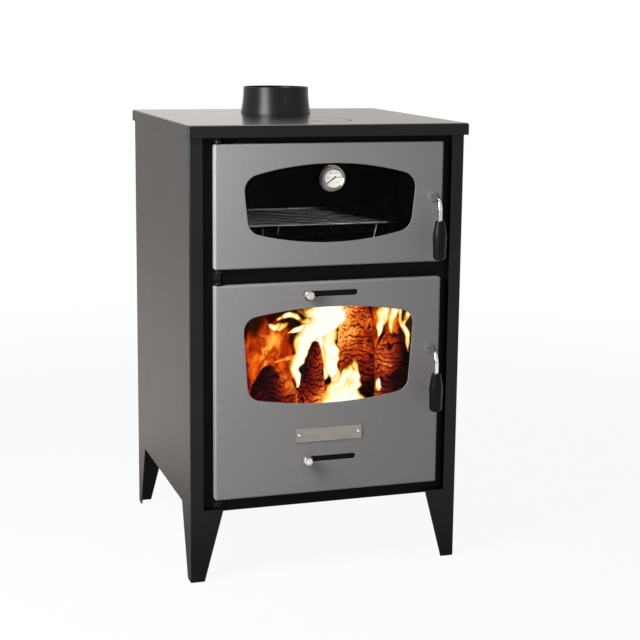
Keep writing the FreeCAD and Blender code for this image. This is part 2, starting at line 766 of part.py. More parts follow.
glass_front = door_in_y
flange_y = glass_front - meter_flange
dial_back_y = flange_y - meter_case_depth
dial_y = dial_back_y - meter_dial
cup_y = dial_back_y - meter_rim_depth
case_r = meter_case_dia / 2
cup_r = case_r - meter_wall
shaft_r = needle_shaft_dia / 2
shaft_hole = rod(shaft_r + needle_clearance, Vector(0, cup_y - overrun, meter_z),
                 Vector(0, dial_back_y + needle_shaft + needle_clearance, meter_z))
stem_end = glass_front + meter_stem_length
flange_r = meter_flange_dia / 2
case = front_revolve([(0, dial_back_y), (cup_r, dial_back_y), (cup_r, cup_y), (case_r, cup_y),
                      (case_r, flange_y), (flange_r, flange_y), (flange_r, glass_front), (stem_r, glass_front),
                      (stem_r, stem_end - stem_r), (stem_r / 2, stem_end), (0, stem_end)], meter_axis)
save("thermometer_case", case.cut(shaft_hole))
dial = rod(cup_r, Vector(0, dial_y, meter_z), Vector(0, dial_back_y, meter_z))
save("thermometer_dial", dial.cut(shaft_hole))
save("thermometer_lens", rod(cup_r, Vector(0, cup_y, meter_z), Vector(0, cup_y + meter_lens, meter_z)))
bezel_r = case_r + meter_bezel_wall
save("thermometer_bezel", front_revolve([(cup_r - meter_bezel_lap, cup_y), (case_r, cup_y),
                                         (case_r, cup_y + meter_rim_depth), (bezel_r, cup_y + meter_rim_depth),
                                         (bezel_r, cup_y - meter_bezel_face / 3),
                                         (case_r - meter_bezel_wall, cup_y - meter_bezel_face),
                                         (cup_r - meter_bezel_lap / 2, cup_y - meter_bezel_face)], meter_axis))
nut_y = glass_front + glass_thick
nut_corners = [Vector(meter_nut_dia / 2 * math.cos(i * math.pi / 3), nut_y,
                      meter_z + meter_nut_dia / 2 * math.sin(i * math.pi / 3)) for i in range(6)]
stem = rod(stem_r, Vector(0, glass_front, meter_z), Vector(0, stem_end, meter_z))
save("thermometer_nut", prism(nut_corners, y_axis * meter_nut).cut(stem))


def dial_needle():
    # Tapered pointer on a hub, with a thin shaft through the dial
    y1 = dial_y - needle_lift
    y0 = y1 - needle_sheet
    half = needle_width / 2
    blade = prism([Vector(-needle_tail, y0, -half), Vector(needle_length - half, y0, -half / 3),
                   Vector(needle_length, y0, 0), Vector(needle_length - half, y0, half / 3),
                   Vector(-needle_tail, y0, half)], y_axis * needle_sheet)
    hub = rod(needle_hub_dia / 2, Vector(0, y0 - needle_sheet, 0), Vector(0, y1, 0))
    shaft = rod(shaft_r, Vector(0, y0, 0), Vector(0, dial_back_y + needle_shaft, 0))
    needle = blade.fuse([hub, shaft]).removeSplitter()
    needle.rotate(Vector(0, 0, 0), -y_axis, needle_angle)
    needle.translate(meter_axis)
    return needle


save("thermometer_needle", dial_needle())

# Firebox door with its air slides and name plate

fire_window_z1 = fire_door_top - fire_window_top
fire_window_z0 = fire_door_bottom + fire_window_bottom
fire_window = window_shape(fire_window_z1, fire_window_z0, fire_top_sag, fire_bottom_sag, fire_corner,
                           door_y - overrun, door_in_y + overrun)


def air_slot(z):
    half = slot_length / 2
    slot = box(-half, half, door_y - overrun, door_in_y + overrun, z - slot_width / 2, z + slot_width / 2)
    return slot.makeFillet(slot_width * full_round, [e for e in slot.Edges if runs_along(e, y_axis)])


fire_panel = door_panel(fire_door_bottom, fire_door_top, fire_handle_z).cut(fire_window)
for z in (upper_slot_z, lower_slot_z):
    fire_panel = fire_panel.cut(air_slot(z))
save("fire_door_panel", fire_panel)
save("fire_door_rim", seal_rim(fire_door_bottom, fire_door_top))
save("fire_door_seal", rope_seal(fire_door_bottom, fire_door_top))
save("fire_hinge_blocks", *hinge_blocks(fire_door_bottom, fire_door_top))
save("fire_glass", glass_pane(fire_window_z1, fire_window_z0))
save("fire_glass_clips", *glass_clips(fire_window_z1, fire_window_z0))

slide_x0 = knob_x - slide_left
slide_x1 = slide_x0 + slide_length
slide_y0 = door_in_y + slide_gap
slide_y1 = slide_y0 + slide_sheet
stud_r = knob_stud_dia / 2


def slide_plate(z):
    half = slide_height / 2
    plate = box(slide_x0, slide_x1, slide_y0, slide_y1, z - half, z + half)
    plate = plate.makeFillet(half / 2, [e for e in plate.Edges if runs_along(e, y_axis)])
    return plate.cut(rod(stud_r, Vector(knob_x, door_y, z), Vector(knob_x, slide_y1 + overrun, z)))


def slide_guides(z):
    # A stepped rail above and below, each lapping over the plate's edge
    y_lip = slide_y1 + slide_gap
    x0, x1 = slide_x0 - slide_gap, slide_x1 + slide_travel + slide_gap
    rails = []
    for side in (-1, 1):
        edge = slide_height / 2 + slide_gap
        outline = [(edge, door_in_y), (edge + guide_wall, door_in_y), (edge + guide_wall, y_lip + guide_sheet),
                   (edge - guide_lip, y_lip + guide_sheet), (edge - guide_lip, y_lip), (edge, y_lip)]
        rails.append(prism([Vector(x0, y, z + side * w) for w, y in outline], x_axis * (x1 - x0)))
    return rails


def slide_knob(z):
    # Turned knob: stud through the slot, collar, neck and domed head
    collar_y = door_y - knob_gap
    tip_y = collar_y - knob_length
    full, neck = knob_dia / 2, knob_neck_dia / 2
    collar = knob_length * 0.2
    neck_end = knob_length * 0.42
    dome = knob_length * 0.75
    return front_revolve([(0, slide_y1), (stud_r, slide_y1), (stud_r, collar_y), (full * 0.8, collar_y),
                          (full * 0.8, collar_y - collar), (neck, collar_y - collar * 1.3),
                          (neck, collar_y - neck_end), (full, collar_y - neck_end * 1.15),
                          (full, collar_y - dome), (full * 0.75, tip_y + knob_length * 0.07),
                          (full * 0.4, tip_y), (0, tip_y)], Vector(knob_x, 0, z))


save("air_slide_guides", *(slide_guides(upper_slot_z) + slide_guides(lower_slot_z)))
for name, z in (("upper", upper_slot_z), ("lower", lower_slot_z)):
    save(name + "_slide_plate", slide_plate(z))
    save(name + "_slide_knob", slide_knob(z))

plate_z = fire_door_bottom + plate_rise
name_plate = box(-plate_width / 2, plate_width / 2, door_y - plate_sheet, door_y,
                 plate_z - plate_height / 2, plate_z + plate_height / 2)
save("name_plate", name_plate.makeFillet(plate_corner, [e for e in name_plate.Edges if runs_along(e, y_axis)]))

# Hinges on the front frame: three brackets and four shouldered pins

def lug(z0):
    end = rod(lug_radius, Vector(hinge_x, hinge_y, z0), Vector(hinge_x, hinge_y, z0 + lug_thick))
    return end.fuse(box(hinge_x - lug_radius, hinge_x + lug_radius, hinge_y, frame_y, z0, z0 + lug_thick))


def hinge_bracket(flange_low, flange_high, lug_bottoms):
    bracket = box(hinge_x - lug_radius, hinge_x + lug_radius, frame_y - lug_thick, frame_y,
                  flange_low, flange_high)
    for z0 in lug_bottoms:
        hole = rod(pin_r, Vector(hinge_x, hinge_y, z0 - overrun),
                   Vector(hinge_x, hinge_y, z0 + lug_thick + overrun))
        bracket = bracket.fuse(lug(z0)).cut(hole)
    return bracket.removeSplitter()


def hinge_pin(door_edge, towards):
    # Shouldered pin; towards is 1 where the lug is above the door's edge and -1 where it is below
    lug_near = hinge_gap
    lug_far = lug_near + lug_thick
    shoulder_r = pin_shoulder_dia / 2
    tip = -door_sheet - pin_depth
    profile = [(0, tip), (pin_r, tip), (pin_r, hinge_float), (shoulder_r, hinge_float), (shoulder_r, lug_near),
               (pin_r, lug_near), (pin_r, lug_far), (shoulder_r, lug_far), (shoulder_r, lug_far + pin_head),
               (0, lug_far + pin_head)]
    return plan_revolve([(r, door_edge + towards * z) for r, z in profile], Vector(hinge_x, hinge_y, 0))


top_lug = oven_door_top + hinge_gap
oven_low_lug = oven_door_bottom - hinge_gap - lug_thick
fire_high_lug = fire_door_top + hinge_gap
bottom_lug = fire_door_bottom - hinge_gap - lug_thick
save("hinge_brackets",
     hinge_bracket(top_lug, top_lug + lug_flange, [top_lug]),
     hinge_bracket(fire_high_lug, oven_low_lug + lug_thick, [fire_high_lug, oven_low_lug]),
     hinge_bracket(bottom_lug + lug_thick - lug_flange, bottom_lug + lug_thick, [bottom_lug]))
save("hinge_pins", hinge_pin(oven_door_top, 1), hinge_pin(oven_door_bottom, -1),
     hinge_pin(fire_door_top, 1), hinge_pin(fire_door_bottom, -1))

# Oven rack of welded wire, standing on bent legs

def oven_rack():
    half = rack_width / 2
    back = rack_back_y
    corners = [Vector(-half, rack_y, rack_z), Vector(half, rack_y, rack_z),
               Vector(half, back, rack_z), Vector(-half, back, rack_z)]
    rack = wire_sweep(rounded_loop(corners, rack_corner), rack_frame_dia / 2)
    bars = []
    for i in range(rack_bars):
        y = rack_y + (rack_back_y - rack_y) * (i + 1) / (rack_bars + 1)
        bars.append(rod(rack_bar_dia / 2, Vector(-half, y, rack_z), Vector(half, y, rack_z)))
    return rack.fuse(bars).removeSplitter()


def rack_leg(x, y):
    # Wire bent to a narrow V, from the rack's rod down to the oven floor
    r = rack_bar_dia / 2
    top = rack_z - rack_frame_dia / 2
    foot = oven_open_bottom + rack_leg_gap + r
    points = [Vector(x - rack_leg_top, y, top), Vector(x - rack_leg_foot, y, foot),
              Vector(x + rack_leg_foot, y, foot), Vector(x + rack_leg_top, y, top)]
    runs = [rod(r, start, end) for start, end in zip(points, points[1:])]
    bends = [Part.makeSphere(r, point) for point in points[1:3]]
    leg = runs[0].fuse(runs[1:] + bends).removeSplitter()
    return leg.cut(rod(rack_frame_dia / 2, Vector(x - 2 * rack_leg_top, y, rack_z),
                       Vector(x + 2 * rack_leg_top, y, rack_z)))


save("oven_rack", oven_rack())
save("rack_legs", *[rack_leg(x, y) for x in (-rack_leg_at, rack_leg_at)
                    for y in (rack_y, rack_back_y)])
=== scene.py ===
import math
import random

import bmesh
import bpy
from mathutils import Matrix, Vector, noise


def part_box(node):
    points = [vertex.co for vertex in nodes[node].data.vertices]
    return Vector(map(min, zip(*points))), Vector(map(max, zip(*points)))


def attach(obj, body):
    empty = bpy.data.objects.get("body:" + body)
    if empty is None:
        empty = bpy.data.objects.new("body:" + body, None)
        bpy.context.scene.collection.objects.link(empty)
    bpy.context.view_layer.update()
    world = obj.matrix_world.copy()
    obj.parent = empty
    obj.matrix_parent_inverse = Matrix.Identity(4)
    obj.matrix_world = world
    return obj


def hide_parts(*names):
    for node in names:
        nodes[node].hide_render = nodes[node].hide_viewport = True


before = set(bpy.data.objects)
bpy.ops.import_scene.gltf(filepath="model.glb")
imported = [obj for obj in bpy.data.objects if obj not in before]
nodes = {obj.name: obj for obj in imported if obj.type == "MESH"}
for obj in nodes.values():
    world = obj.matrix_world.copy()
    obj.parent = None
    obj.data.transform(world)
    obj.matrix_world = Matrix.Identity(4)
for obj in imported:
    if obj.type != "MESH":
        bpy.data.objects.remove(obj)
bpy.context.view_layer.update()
mm = 0.001
for leftover in ("Cube", "Light", "Camera"):  # an empty scene, whatever Blender starts with
    if leftover in bpy.data.objects:
        bpy.data.objects.remove(bpy.data.objects[leftover])
print("frame loaded:", len(nodes), "nodes")


def linear(hexColour):  # sRGB hex to the linear colour that shaders take
    channels = [int(hexColour[i:i + 2], 16) / 255 for i in (1, 3, 5)]
    return tuple(c / 12.92 if c <= 0.04045 else ((c + 0.055) / 1.055) ** 2.4 for c in channels) + (1.0,)


def addNode(tree, kind, inputs=None, stops=None, **settings):  # one node with its settings and links
    node = tree.nodes.new("ShaderNode" + kind)
    for name, value in settings.items():
        setattr(node, name, value)
    for name, value in (inputs or {}).items():
        if isinstance(value, bpy.types.NodeSocket):
            tree.links.new(value, node.inputs[name])
        else:
            node.inputs[name].default_value = value
    for i, (place, colour) in enumerate(stops or []):
        elements = node.color_ramp.elements
        stop = elements[i] if i < 2 else elements.new(place)
        stop.position, stop.color = place, linear(colour)
    return node


def newFinish(name, **sockets):  # a material, its tree, its shader and the place on the part in metres
    finish = bpy.data.materials.new(name)
    finish.use_nodes = True
    shader = finish.node_tree.nodes["Principled BSDF"]
    for socket, value in sockets.items():
        shader.inputs[socket.replace("_", " ")].default_value = value
    place = addNode(finish.node_tree, "TexCoord").outputs["Object"]
    return finish, finish.node_tree, shader, place


def plug(node, **sources):  # links the node's sockets to the outputs that feed them
    for socket, source in sources.items():
        node.id_data.links.new(source, node.inputs[socket.replace("_", " ")])


noiseSpan = {"From Min": 0.3, "From Max": 0.7}  # most values of a noise lie between these

# Heat-proof paint, sprayed and baked: near black, a soft sheen that turns pale at a glancing angle,
# faint orange peel, and corners that catch the light
blackPaint = {"colour": "#0c0c0d", "thinCoat": "#101011", "cloud": 90, "peel": 2.2, "edgeRound": 0.5,
              "peelBump": {"Strength": 0.05, "Distance": 0.2 * mm}, "unevenGloss": 0.02,
              "topFacing": {"From Min": 0.5, "From Max": 0.95},
              "satin": (0.36, 0.2), "matte": (0.55, 0.07), "semiGloss": (0.29, 0.2), "topGloss": (0.2, 0.6)}


def stovePaint(name, sheen, topSheen=None):  # sheens: roughness and specular level, all over and on top
    roughness, specular = sheen
    finish, tree, shader, place = newFinish(name, Specular_IOR_Level=specular)
    clouds = addNode(tree, "TexNoise", {"Vector": place, "Scale": 1000 / blackPaint["cloud"], "Detail": 4.0})
    coat = addNode(tree, "ValToRGB", {"Fac": clouds.outputs[0]},
                   stops=[(0.35, blackPaint["colour"]), (0.7, blackPaint["thinCoat"])])
    peel = addNode(tree, "TexNoise", {"Vector": place, "Scale": 1000 / blackPaint["peel"], "Detail": 2.0})
    gloss = addNode(tree, "MapRange", {"Value": clouds.outputs[0], **noiseSpan, "To Min": roughness,
                                       "To Max": roughness + blackPaint["unevenGloss"]})
    if topSheen:  # the cooking face is rubbed smooth, the lip is not
        facing = addNode(tree, "SeparateXYZ", {0: addNode(tree, "TexCoord").outputs["Normal"]})
        gloss = addNode(tree, "MapRange", {"Value": facing.outputs["Z"], **blackPaint["topFacing"],
                                           "To Min": gloss.outputs[0], "To Max": topSheen[0]})
        level = addNode(tree, "MapRange", {"Value": facing.outputs["Z"], **blackPaint["topFacing"],
                                           "To Min": specular, "To Max": topSheen[1]})
        plug(shader, Specular_IOR_Level=level.outputs[0])
    rounded = addNode(tree, "Bevel", {"Radius": blackPaint["edgeRound"] * mm}, samples=4)
    bump = addNode(tree, "Bump", {**blackPaint["peelBump"], "Height": peel.outputs[0],
                                  "Normal": rounded.outputs[0]})
    plug(shader, Base_Color=coat.outputs[0], Roughness=gloss.outputs[0], Normal=bump.outputs[0])
    return finish


# Metallic grey paint: fine aluminium flake in a satin binder, brighter where it faces the light.
# Real flake is 0.05 mm and too fine to show, so it is drawn at 0.9 mm
greyPaint = {"colour": "#7e7c7d", "flakeColour": "#858384", "flake": 0.9, "peel": 2.5, "cloud": 140,
             "metallic": 0.06, "specular": 0.2, "roughness": {**noiseSpan, "To Min": 0.42, "To Max": 0.45},
             "peelBump": {"Strength": 0.04, "Distance": 0.2 * mm}, "edgeRound": 1.1}


def metallicGreyPaint():
    finish, tree, shader, place = newFinish("metallicGreyPaint", Metallic=greyPaint["metallic"],
                                            Specular_IOR_Level=greyPaint["specular"])
    flake = addNode(tree, "TexVoronoi", {"Vector": place, "Scale": 1000 / greyPaint["flake"]})
    tilt = addNode(tree, "SeparateColor", {"Color": flake.outputs["Color"]})
    colour = addNode(tree, "ValToRGB", {"Fac": tilt.outputs[0]},
                     stops=[(0.2, greyPaint["colour"]), (1.0, greyPaint["flakeColour"])])
    clouds = addNode(tree, "TexNoise", {"Vector": place, "Scale": 1000 / greyPaint["cloud"], "Detail": 3.0})
    gloss = addNode(tree, "MapRange", {"Value": clouds.outputs[0], **greyPaint["roughness"]})
    peel = addNode(tree, "TexNoise", {"Vector": place, "Scale": 1000 / greyPaint["peel"], "Detail": 2.0})
    rounded = addNode(tree, "Bevel", {"Radius": greyPaint["edgeRound"] * mm}, samples=4)
    bump = addNode(tree, "Bump", {**greyPaint["peelBump"], "Height": peel.outputs[0],
                                  "Normal": rounded.outputs[0]})
    plug(shader, Base_Color=colour.outputs[0], Roughness=gloss.outputs[0], Normal=bump.outputs[0])
    return finish


# Mild steel darkened by heat and soot: almost black, blotchy, a dull metal glint on the edges
sootSteel = {"soot": "#030303", "bare": "#090808", "blotch": 45, "grain": 3.0, "metallic": 0.15,
             "specular": 0.12, "roughness": {**noiseSpan, "To Min": 0.75, "To Max": 0.5},
             "grainBump": {"Strength": 0.06, "Distance": 0.2 * mm}}


def sootedSteel():
    finish, tree, shader, place = newFinish("sootedSteel", Metallic=sootSteel["metallic"],
                                            Specular_IOR_Level=sootSteel["specular"])
    blotch = addNode(tree, "TexNoise", {"Vector": place, "Scale": 1000 / sootSteel["blotch"], "Detail": 6.0})
    colour = addNode(tree, "ValToRGB", {"Fac": blotch.outputs[0]},
                     stops=[(0.4, sootSteel["soot"]), (0.68, sootSteel["bare"])])
    gloss = addNode(tree, "MapRange", {"Value": blotch.outputs[0], **sootSteel["roughness"]})
    grain = addNode(tree, "TexNoise", {"Vector": place, "Scale": 1000 / sootSteel["grain"], "Detail": 3.0})
    bump = addNode(tree, "Bump", {**sootSteel["grainBump"], "Height": grain.outputs[0]})
    plug(shader, Base_Color=colour.outputs[0], Roughness=gloss.outputs[0], Normal=bump.outputs[0])
    return finish


# Galvanised sheet: grey zinc crystals, each turned its own way
zincSheet = {"dark": "#7d8082", "light": "#a6a9aa", "spangle": 11, "bend": 0.003,
             "roughness": {"To Min": 0.34, "To Max": 0.5}}


def galvanisedSheet():
    finish, tree, shader, place = newFinish("galvanisedSheet", Metallic=1.0)
    warp = addNode(tree, "TexNoise", {"Vector": place, "Scale": 1000 / zincSheet["spangle"], "Detail": 2.0})
    bent = addNode(tree, "Mix", {0: zincSheet["bend"], 4: place, 5: warp.outputs[1]}, data_type="VECTOR")
    spangle = addNode(tree, "TexVoronoi", {"Vector": bent.outputs[1], "Scale": 1000 / zincSheet["spangle"]})
    tilt = addNode(tree, "SeparateColor", {"Color": spangle.outputs["Color"]})
    colour = addNode(tree, "ValToRGB", {"Fac": tilt.outputs[0]},
                     stops=[(0.0, zincSheet["dark"]), (1.0, zincSheet["light"])])
    gloss = addNode(tree, "MapRange", {"Value": tilt.outputs[1], **zincSheet["roughness"]})
    plug(shader, Base_Color=colour.outputs[0], Roughness=gloss.outputs[0])
    return finish


# Cast iron from a sand mould: dark, dull, with a fine pebbled skin
castIron = {"colour": "#1b1b1c", "rubbed": "#333334", "sand": 1.6, "patch": 35, "edgeRound": 0.8,
            "metallic": 0.25, "specular": 0.4, "roughness": {**noiseSpan, "To Min": 0.66, "To Max": 0.5},
            "sandBump": {"Strength": 0.25, "Distance": 0.4 * mm}}


def sandCastIron():
    finish, tree, shader, place = newFinish("sandCastIron", Metallic=castIron["metallic"],
                                            Specular_IOR_Level=castIron["specular"])
    patch = addNode(tree, "TexNoise", {"Vector": place, "Scale": 1000 / castIron["patch"], "Detail": 5.0})
    colour = addNode(tree, "ValToRGB", {"Fac": patch.outputs[0]},
                     stops=[(0.4, castIron["colour"]), (0.72, castIron["rubbed"])])
    gloss = addNode(tree, "MapRange", {"Value": patch.outputs[0], **castIron["roughness"]})
    sand = addNode(tree, "TexNoise", {"Vector": place, "Scale": 1000 / castIron["sand"], "Detail": 3.0})
    rounded = addNode(tree, "Bevel", {"Radius": castIron["edgeRound"] * mm}, samples=4)
    bump = addNode(tree, "Bump", {**castIron["sandBump"], "Height": sand.outputs[0],
                                  "Normal": rounded.outputs[0]})
    plug(shader, Base_Color=colour.outputs[0], Roughness=gloss.outputs[0], Normal=bump.outputs[0])
    return finish


# Pressed firebrick: buff clay with coarse grog, sooted by the fire
fireclay = {"clay": "#8d7150", "grog": "#58442f", "soot": "#0f0c09", "grit": 4.0, "sootPatch": 70,
            "roughness": 0.92, "specular": 0.2, "gritBump": {"Strength": 0.4, "Distance": 0.6 * mm},
            "sootCover": {"From Min": 0.36, "From Max": 0.62, "To Min": 0.8, "To Max": 0.985}}


def pressedFirebrick():
    finish, tree, shader, place = newFinish("pressedFirebrick", Roughness=fireclay["roughness"],
                                            Specular_IOR_Level=fireclay["specular"])
    grit = addNode(tree, "TexVoronoi", {"Vector": place, "Scale": 1000 / fireclay["grit"]})
    clay = addNode(tree, "ValToRGB", {"Fac": grit.outputs["Distance"]},
                   stops=[(0.12, fireclay["grog"]), (0.45, fireclay["clay"])])
    soot = addNode(tree, "TexNoise", {"Vector": place, "Scale": 1000 / fireclay["sootPatch"], "Detail": 5.0})
    cover = addNode(tree, "MapRange", {"Value": soot.outputs[0], **fireclay["sootCover"]})
    colour = addNode(tree, "Mix", {0: cover.outputs[0], 6: clay.outputs[0], 7: linear(fireclay["soot"])},
                     data_type="RGBA")
    bump = addNode(tree, "Bump", {**fireclay["gritBump"], "Height": grit.outputs["Distance"]})
    plug(shader, Base_Color=colour.outputs[2], Normal=bump.outputs[0])
    return finish


# Clear ceramic glass, rolled: colourless with a faint smoke film that dulls the shine in places
stoveGlass = {"tint": "#fbfbf9", "film": 60, "ior": 1.07,
              "roughness": {"From Min": 0.45, "From Max": 0.75, "To Min": 0.0, "To Max": 0.03}}


def ceramicGlass():
    finish, tree, shader, place = newFinish("ceramicGlass", Base_Color=linear(stoveGlass["tint"]),
                                            IOR=stoveGlass["ior"], Transmission_Weight=1.0)
    film = addNode(tree, "TexNoise", {"Vector": place, "Scale": 1000 / stoveGlass["film"], "Detail": 4.0})
    dull = addNode(tree, "MapRange", {"Value": film.outputs[0], **stoveGlass["roughness"]})
    plug(shader, Roughness=dull.outputs[0])
    return finish


# Bright metal: chrome plate, duller nickel plate and drawn wire, a mirror with faint wipe marks
brightMetal = {"chrome": "#d9d9d8", "chromeDulled": "#bdbdbc", "wipe": 14,
               "roughness": {"From Min": 0.35, "From Max": 0.7, "To Min": 0.07, "To Max": 0.2},
               "nickel": "#8f8f8e", "nickelDulled": "#636362", "wire": "#7e7f83", "wireDulled": "#4c4d50"}


def brightPlate(name, clean, dulled):
    finish, tree, shader, place = newFinish(name, Metallic=1.0)
    wipe = addNode(tree, "TexNoise", {"Vector": place, "Scale": 1000 / brightMetal["wipe"], "Detail": 5.0})
    colour = addNode(tree, "ValToRGB", {"Fac": wipe.outputs[0]}, stops=[(0.4, clean), (0.75, dulled)])
    gloss = addNode(tree, "MapRange", {"Value": wipe.outputs[0], **brightMetal["roughness"]})
    plug(shader, Base_Color=colour.outputs[0], Roughness=gloss.outputs[0])
    return finish


# Brushed stainless steel: long fine scratches that spread the shine sideways.
# Real scratches are 0.03 mm apart, so they are drawn at 0.5 mm
brushedPlate = {"colour": "#7d7b78", "scratchColour": "#969491", "scratch": 0.5, "scratchLength": 30,
                "scratchBump": {"Strength": 0.1, "Distance": 0.05 * mm}, "roughness": 0.34, "anisotropy": 0.5}


def brushedSteel():
    finish, tree, shader, place = newFinish("brushedSteel", Metallic=1.0, Roughness=brushedPlate["roughness"],
                                            Anisotropic=brushedPlate["anisotropy"])
    along, across = 1000 / brushedPlate["scratchLength"], 1000 / brushedPlate["scratch"]
    stretch = addNode(tree, "Mapping", {"Vector": place, "Scale": (along, across, across)})
    lines = addNode(tree, "TexNoise", {"Vector": stretch.outputs[0], "Scale": 1.0, "Detail": 2.0})
    colour = addNode(tree, "ValToRGB", {"Fac": lines.outputs[0]},
                     stops=[(0.3, brushedPlate["colour"]), (0.7, brushedPlate["scratchColour"])])
    bump = addNode(tree, "Bump", {**brushedPlate["scratchBump"], "Height": lines.outputs[0]})
    plug(shader, Base_Color=colour.outputs[0], Normal=bump.outputs[0])
    return finish


# Moulded bakelite: deep black with a low satin shine and a slight wood-flour mottle
bakelite = {"colour": "#0b0b0b", "mottle": "#181716", "flour": 3.0, "edgeRound": 0.7, "roughness": 0.34,
            "specular": 0.1, "flourBump": {"Strength": 0.05, "Distance": 0.1 * mm}}


def mouldedBakelite():
    finish, tree, shader, place = newFinish("mouldedBakelite", Roughness=bakelite["roughness"],
                                            Specular_IOR_Level=bakelite["specular"])
    flour = addNode(tree, "TexNoise", {"Vector": place, "Scale": 1000 / bakelite["flour"], "Detail": 4.0})
    colour = addNode(tree, "ValToRGB", {"Fac": flour.outputs[0]},
                     stops=[(0.45, bakelite["colour"]), (0.8, bakelite["mottle"])])
    rounded = addNode(tree, "Bevel", {"Radius": bakelite["edgeRound"] * mm}, samples=4)
    bump = addNode(tree, "Bump", {**bakelite["flourBump"], "Height": flour.outputs[0],
                                  "Normal": rounded.outputs[0]})
    plug(shader, Base_Color=colour.outputs[0], Normal=bump.outputs[0])
    return finish


# Knitted glass-fibre rope: grey, soft, with fine yarn across each strand
glassRope = {"colour": "#4b4947", "yarnColour": "#6c6966", "yarn": 1.1, "roughness": 0.95, "specular": 0.15,
             "sheen": 0.3, "yarnBump": {"Strength": 0.5, "Distance": 0.3 * mm}}


def knittedGlassRope():
    finish, tree, shader, place = newFinish("knittedGlassRope", Roughness=glassRope["roughness"],
                                            Specular_IOR_Level=glassRope["specular"],
                                            Sheen_Weight=glassRope["sheen"])
    yarn = addNode(tree, "TexVoronoi", {"Vector": place, "Scale": 1000 / glassRope["yarn"]})
    colour = addNode(tree, "ValToRGB", {"Fac": yarn.outputs["Distance"]},
                     stops=[(0.1, glassRope["colour"]), (0.6, glassRope["yarnColour"])])
    bump = addNode(tree, "Bump", {**glassRope["yarnBump"], "Height": yarn.outputs["Distance"]})
    plug(shader, Base_Color=colour.outputs[0], Normal=bump.outputs[0])
    return finish


# Stove enamel on the dial: clean white, slightly aged, and the black of its print
dialEnamel = {"white": "#d9dbdb", "aged": "#cacccb", "black": "#101010", "blackWorn": "#262625", "speck": 6,
              "roughness": 0.4, "specular": 0.4}


def enamel(name, clean, aged):
    finish, tree, shader, place = newFinish(name, Roughness=dialEnamel["roughness"],
                                            Specular_IOR_Level=dialEnamel["specular"])
    speck = addNode(tree, "TexNoise", {"Vector": place, "Scale": 1000 / dialEnamel["speck"], "Detail": 4.0})
    colour = addNode(tree, "ValToRGB", {"Fac": speck.outputs[0]}, stops=[(0.45, clean), (0.8, aged)])
    plug(shader, Base_Color=colour.outputs[0])
    return finish


# Burning wood: charcoal black in the cracks, dull red to orange where it glows.
# The mesh carries how hot each point is, and on the side toward the flames a painted light from them
burningWood = {"char": "#100b09", "strength": 1.15, "fibre": 5, "roughness": 0.9, "specular": 0.05,
               "fibreBump": {"Strength": 0.5, "Distance": 1.0 * mm},
               "waver": {**noiseSpan, "To Min": 0.72, "To Max": 1.2},
               "heats": [(0.0, "#040101"), (0.22, "#240405"), (0.42, "#6c0f08"), (0.62, "#b23a0c"),
                         (0.8, "#e2761f"), (1.0, "#fab45a")]}


def charredWood():
    finish, tree, shader, place = newFinish("charredWood", Base_Color=linear(burningWood["char"]),
                                            Roughness=burningWood["roughness"],
                                            Specular_IOR_Level=burningWood["specular"],
                                            Emission_Strength=burningWood["strength"])
    heat = addNode(tree, "Attribute", attribute_name="glowLevel")
    fibre = addNode(tree, "TexNoise", {"Vector": place, "Scale": 1000 / burningWood["fibre"], "Detail": 5.0})
    waver = addNode(tree, "MapRange", {"Value": fibre.outputs[0], **burningWood["waver"]})
    hot = addNode(tree, "Math", {0: heat.outputs["Fac"], 1: waver.outputs[0]}, operation="MULTIPLY")
    glow = addNode(tree, "ValToRGB", {"Fac": hot.outputs[0]}, stops=burningWood["heats"])
    bump = addNode(tree, "Bump", {**burningWood["fibreBump"], "Height": fibre.outputs[0]})
    plug(shader, Emission_Color=glow.outputs[0], Normal=bump.outputs[0])
    return finish


# Flame: light with no surface, white-yellow where it is hot and deep orange at the thin edges.
# The far glow is red, and the hottest flame stays pale to its edge
woodFlame = {"strength": 1.15, "streak": 22, "streakLength": 42, "twist": 0.9, "fullest": 0.95,
             "lick": {**noiseSpan, "To Min": 0.45, "To Max": 1.5},
             "flameEdge": (0.22, 0.62), "glowEdge": (0.04, 0.6), "coreEdge": (0.2, 0.95),
             "heats": [(0.0, "#7a1602"), (0.2, "#d84a06"), (0.34, "#f88a18"), (0.5, "#ffc040"),
                       (0.74, "#fff09a"), (1.0, "#fffdf0")],
             "glowHeats": [(0.0, "#1c0100"), (0.2, "#7c1001"), (0.36, "#d23a05"), (0.52, "#f06a10"),
                           (0.8, "#ffb84a")],
             "coreHeats": [(0.0, "#ffd870"), (0.5, "#fff3b4"), (1.0, "#fffdf0")]}


def openFlame(name, edge, heats):  # edge: the heats between which the flame turns from clear to full
    finish, tree, shader, place = newFinish(name, Base_Color=(0, 0, 0, 1), Specular_IOR_Level=0.0,
                                            Roughness=1.0, Emission_Strength=woodFlame["strength"])
    heat = addNode(tree, "Attribute", attribute_name="glowLevel")
    across, upward = 1000 / woodFlame["streak"], 1000 / woodFlame["streakLength"]
    stretch = addNode(tree, "Mapping", {"Vector": place, "Scale": (across, across, upward)})
    streaks = addNode(tree, "TexNoise", {"Vector": stretch.outputs[0], "Scale": 1.0, "Detail": 5.0,
                                         "Distortion": woodFlame["twist"]})
    lick = addNode(tree, "MapRange", {"Value": streaks.outputs[0], **woodFlame["lick"]})
    hot = addNode(tree, "Math", {0: heat.outputs["Fac"], 1: lick.outputs[0]}, operation="MULTIPLY")
    colour = addNode(tree, "ValToRGB", {"Fac": hot.outputs[0]}, stops=heats)
    thick = addNode(tree, "MapRange", {"Value": hot.outputs[0], "From Min": edge[0], "From Max": edge[1],
                                       "To Min": 0.0, "To Max": woodFlame["fullest"]})
    plug(shader, Emission_Color=colour.outputs[0], Alpha=thick.outputs[0])
    return finish


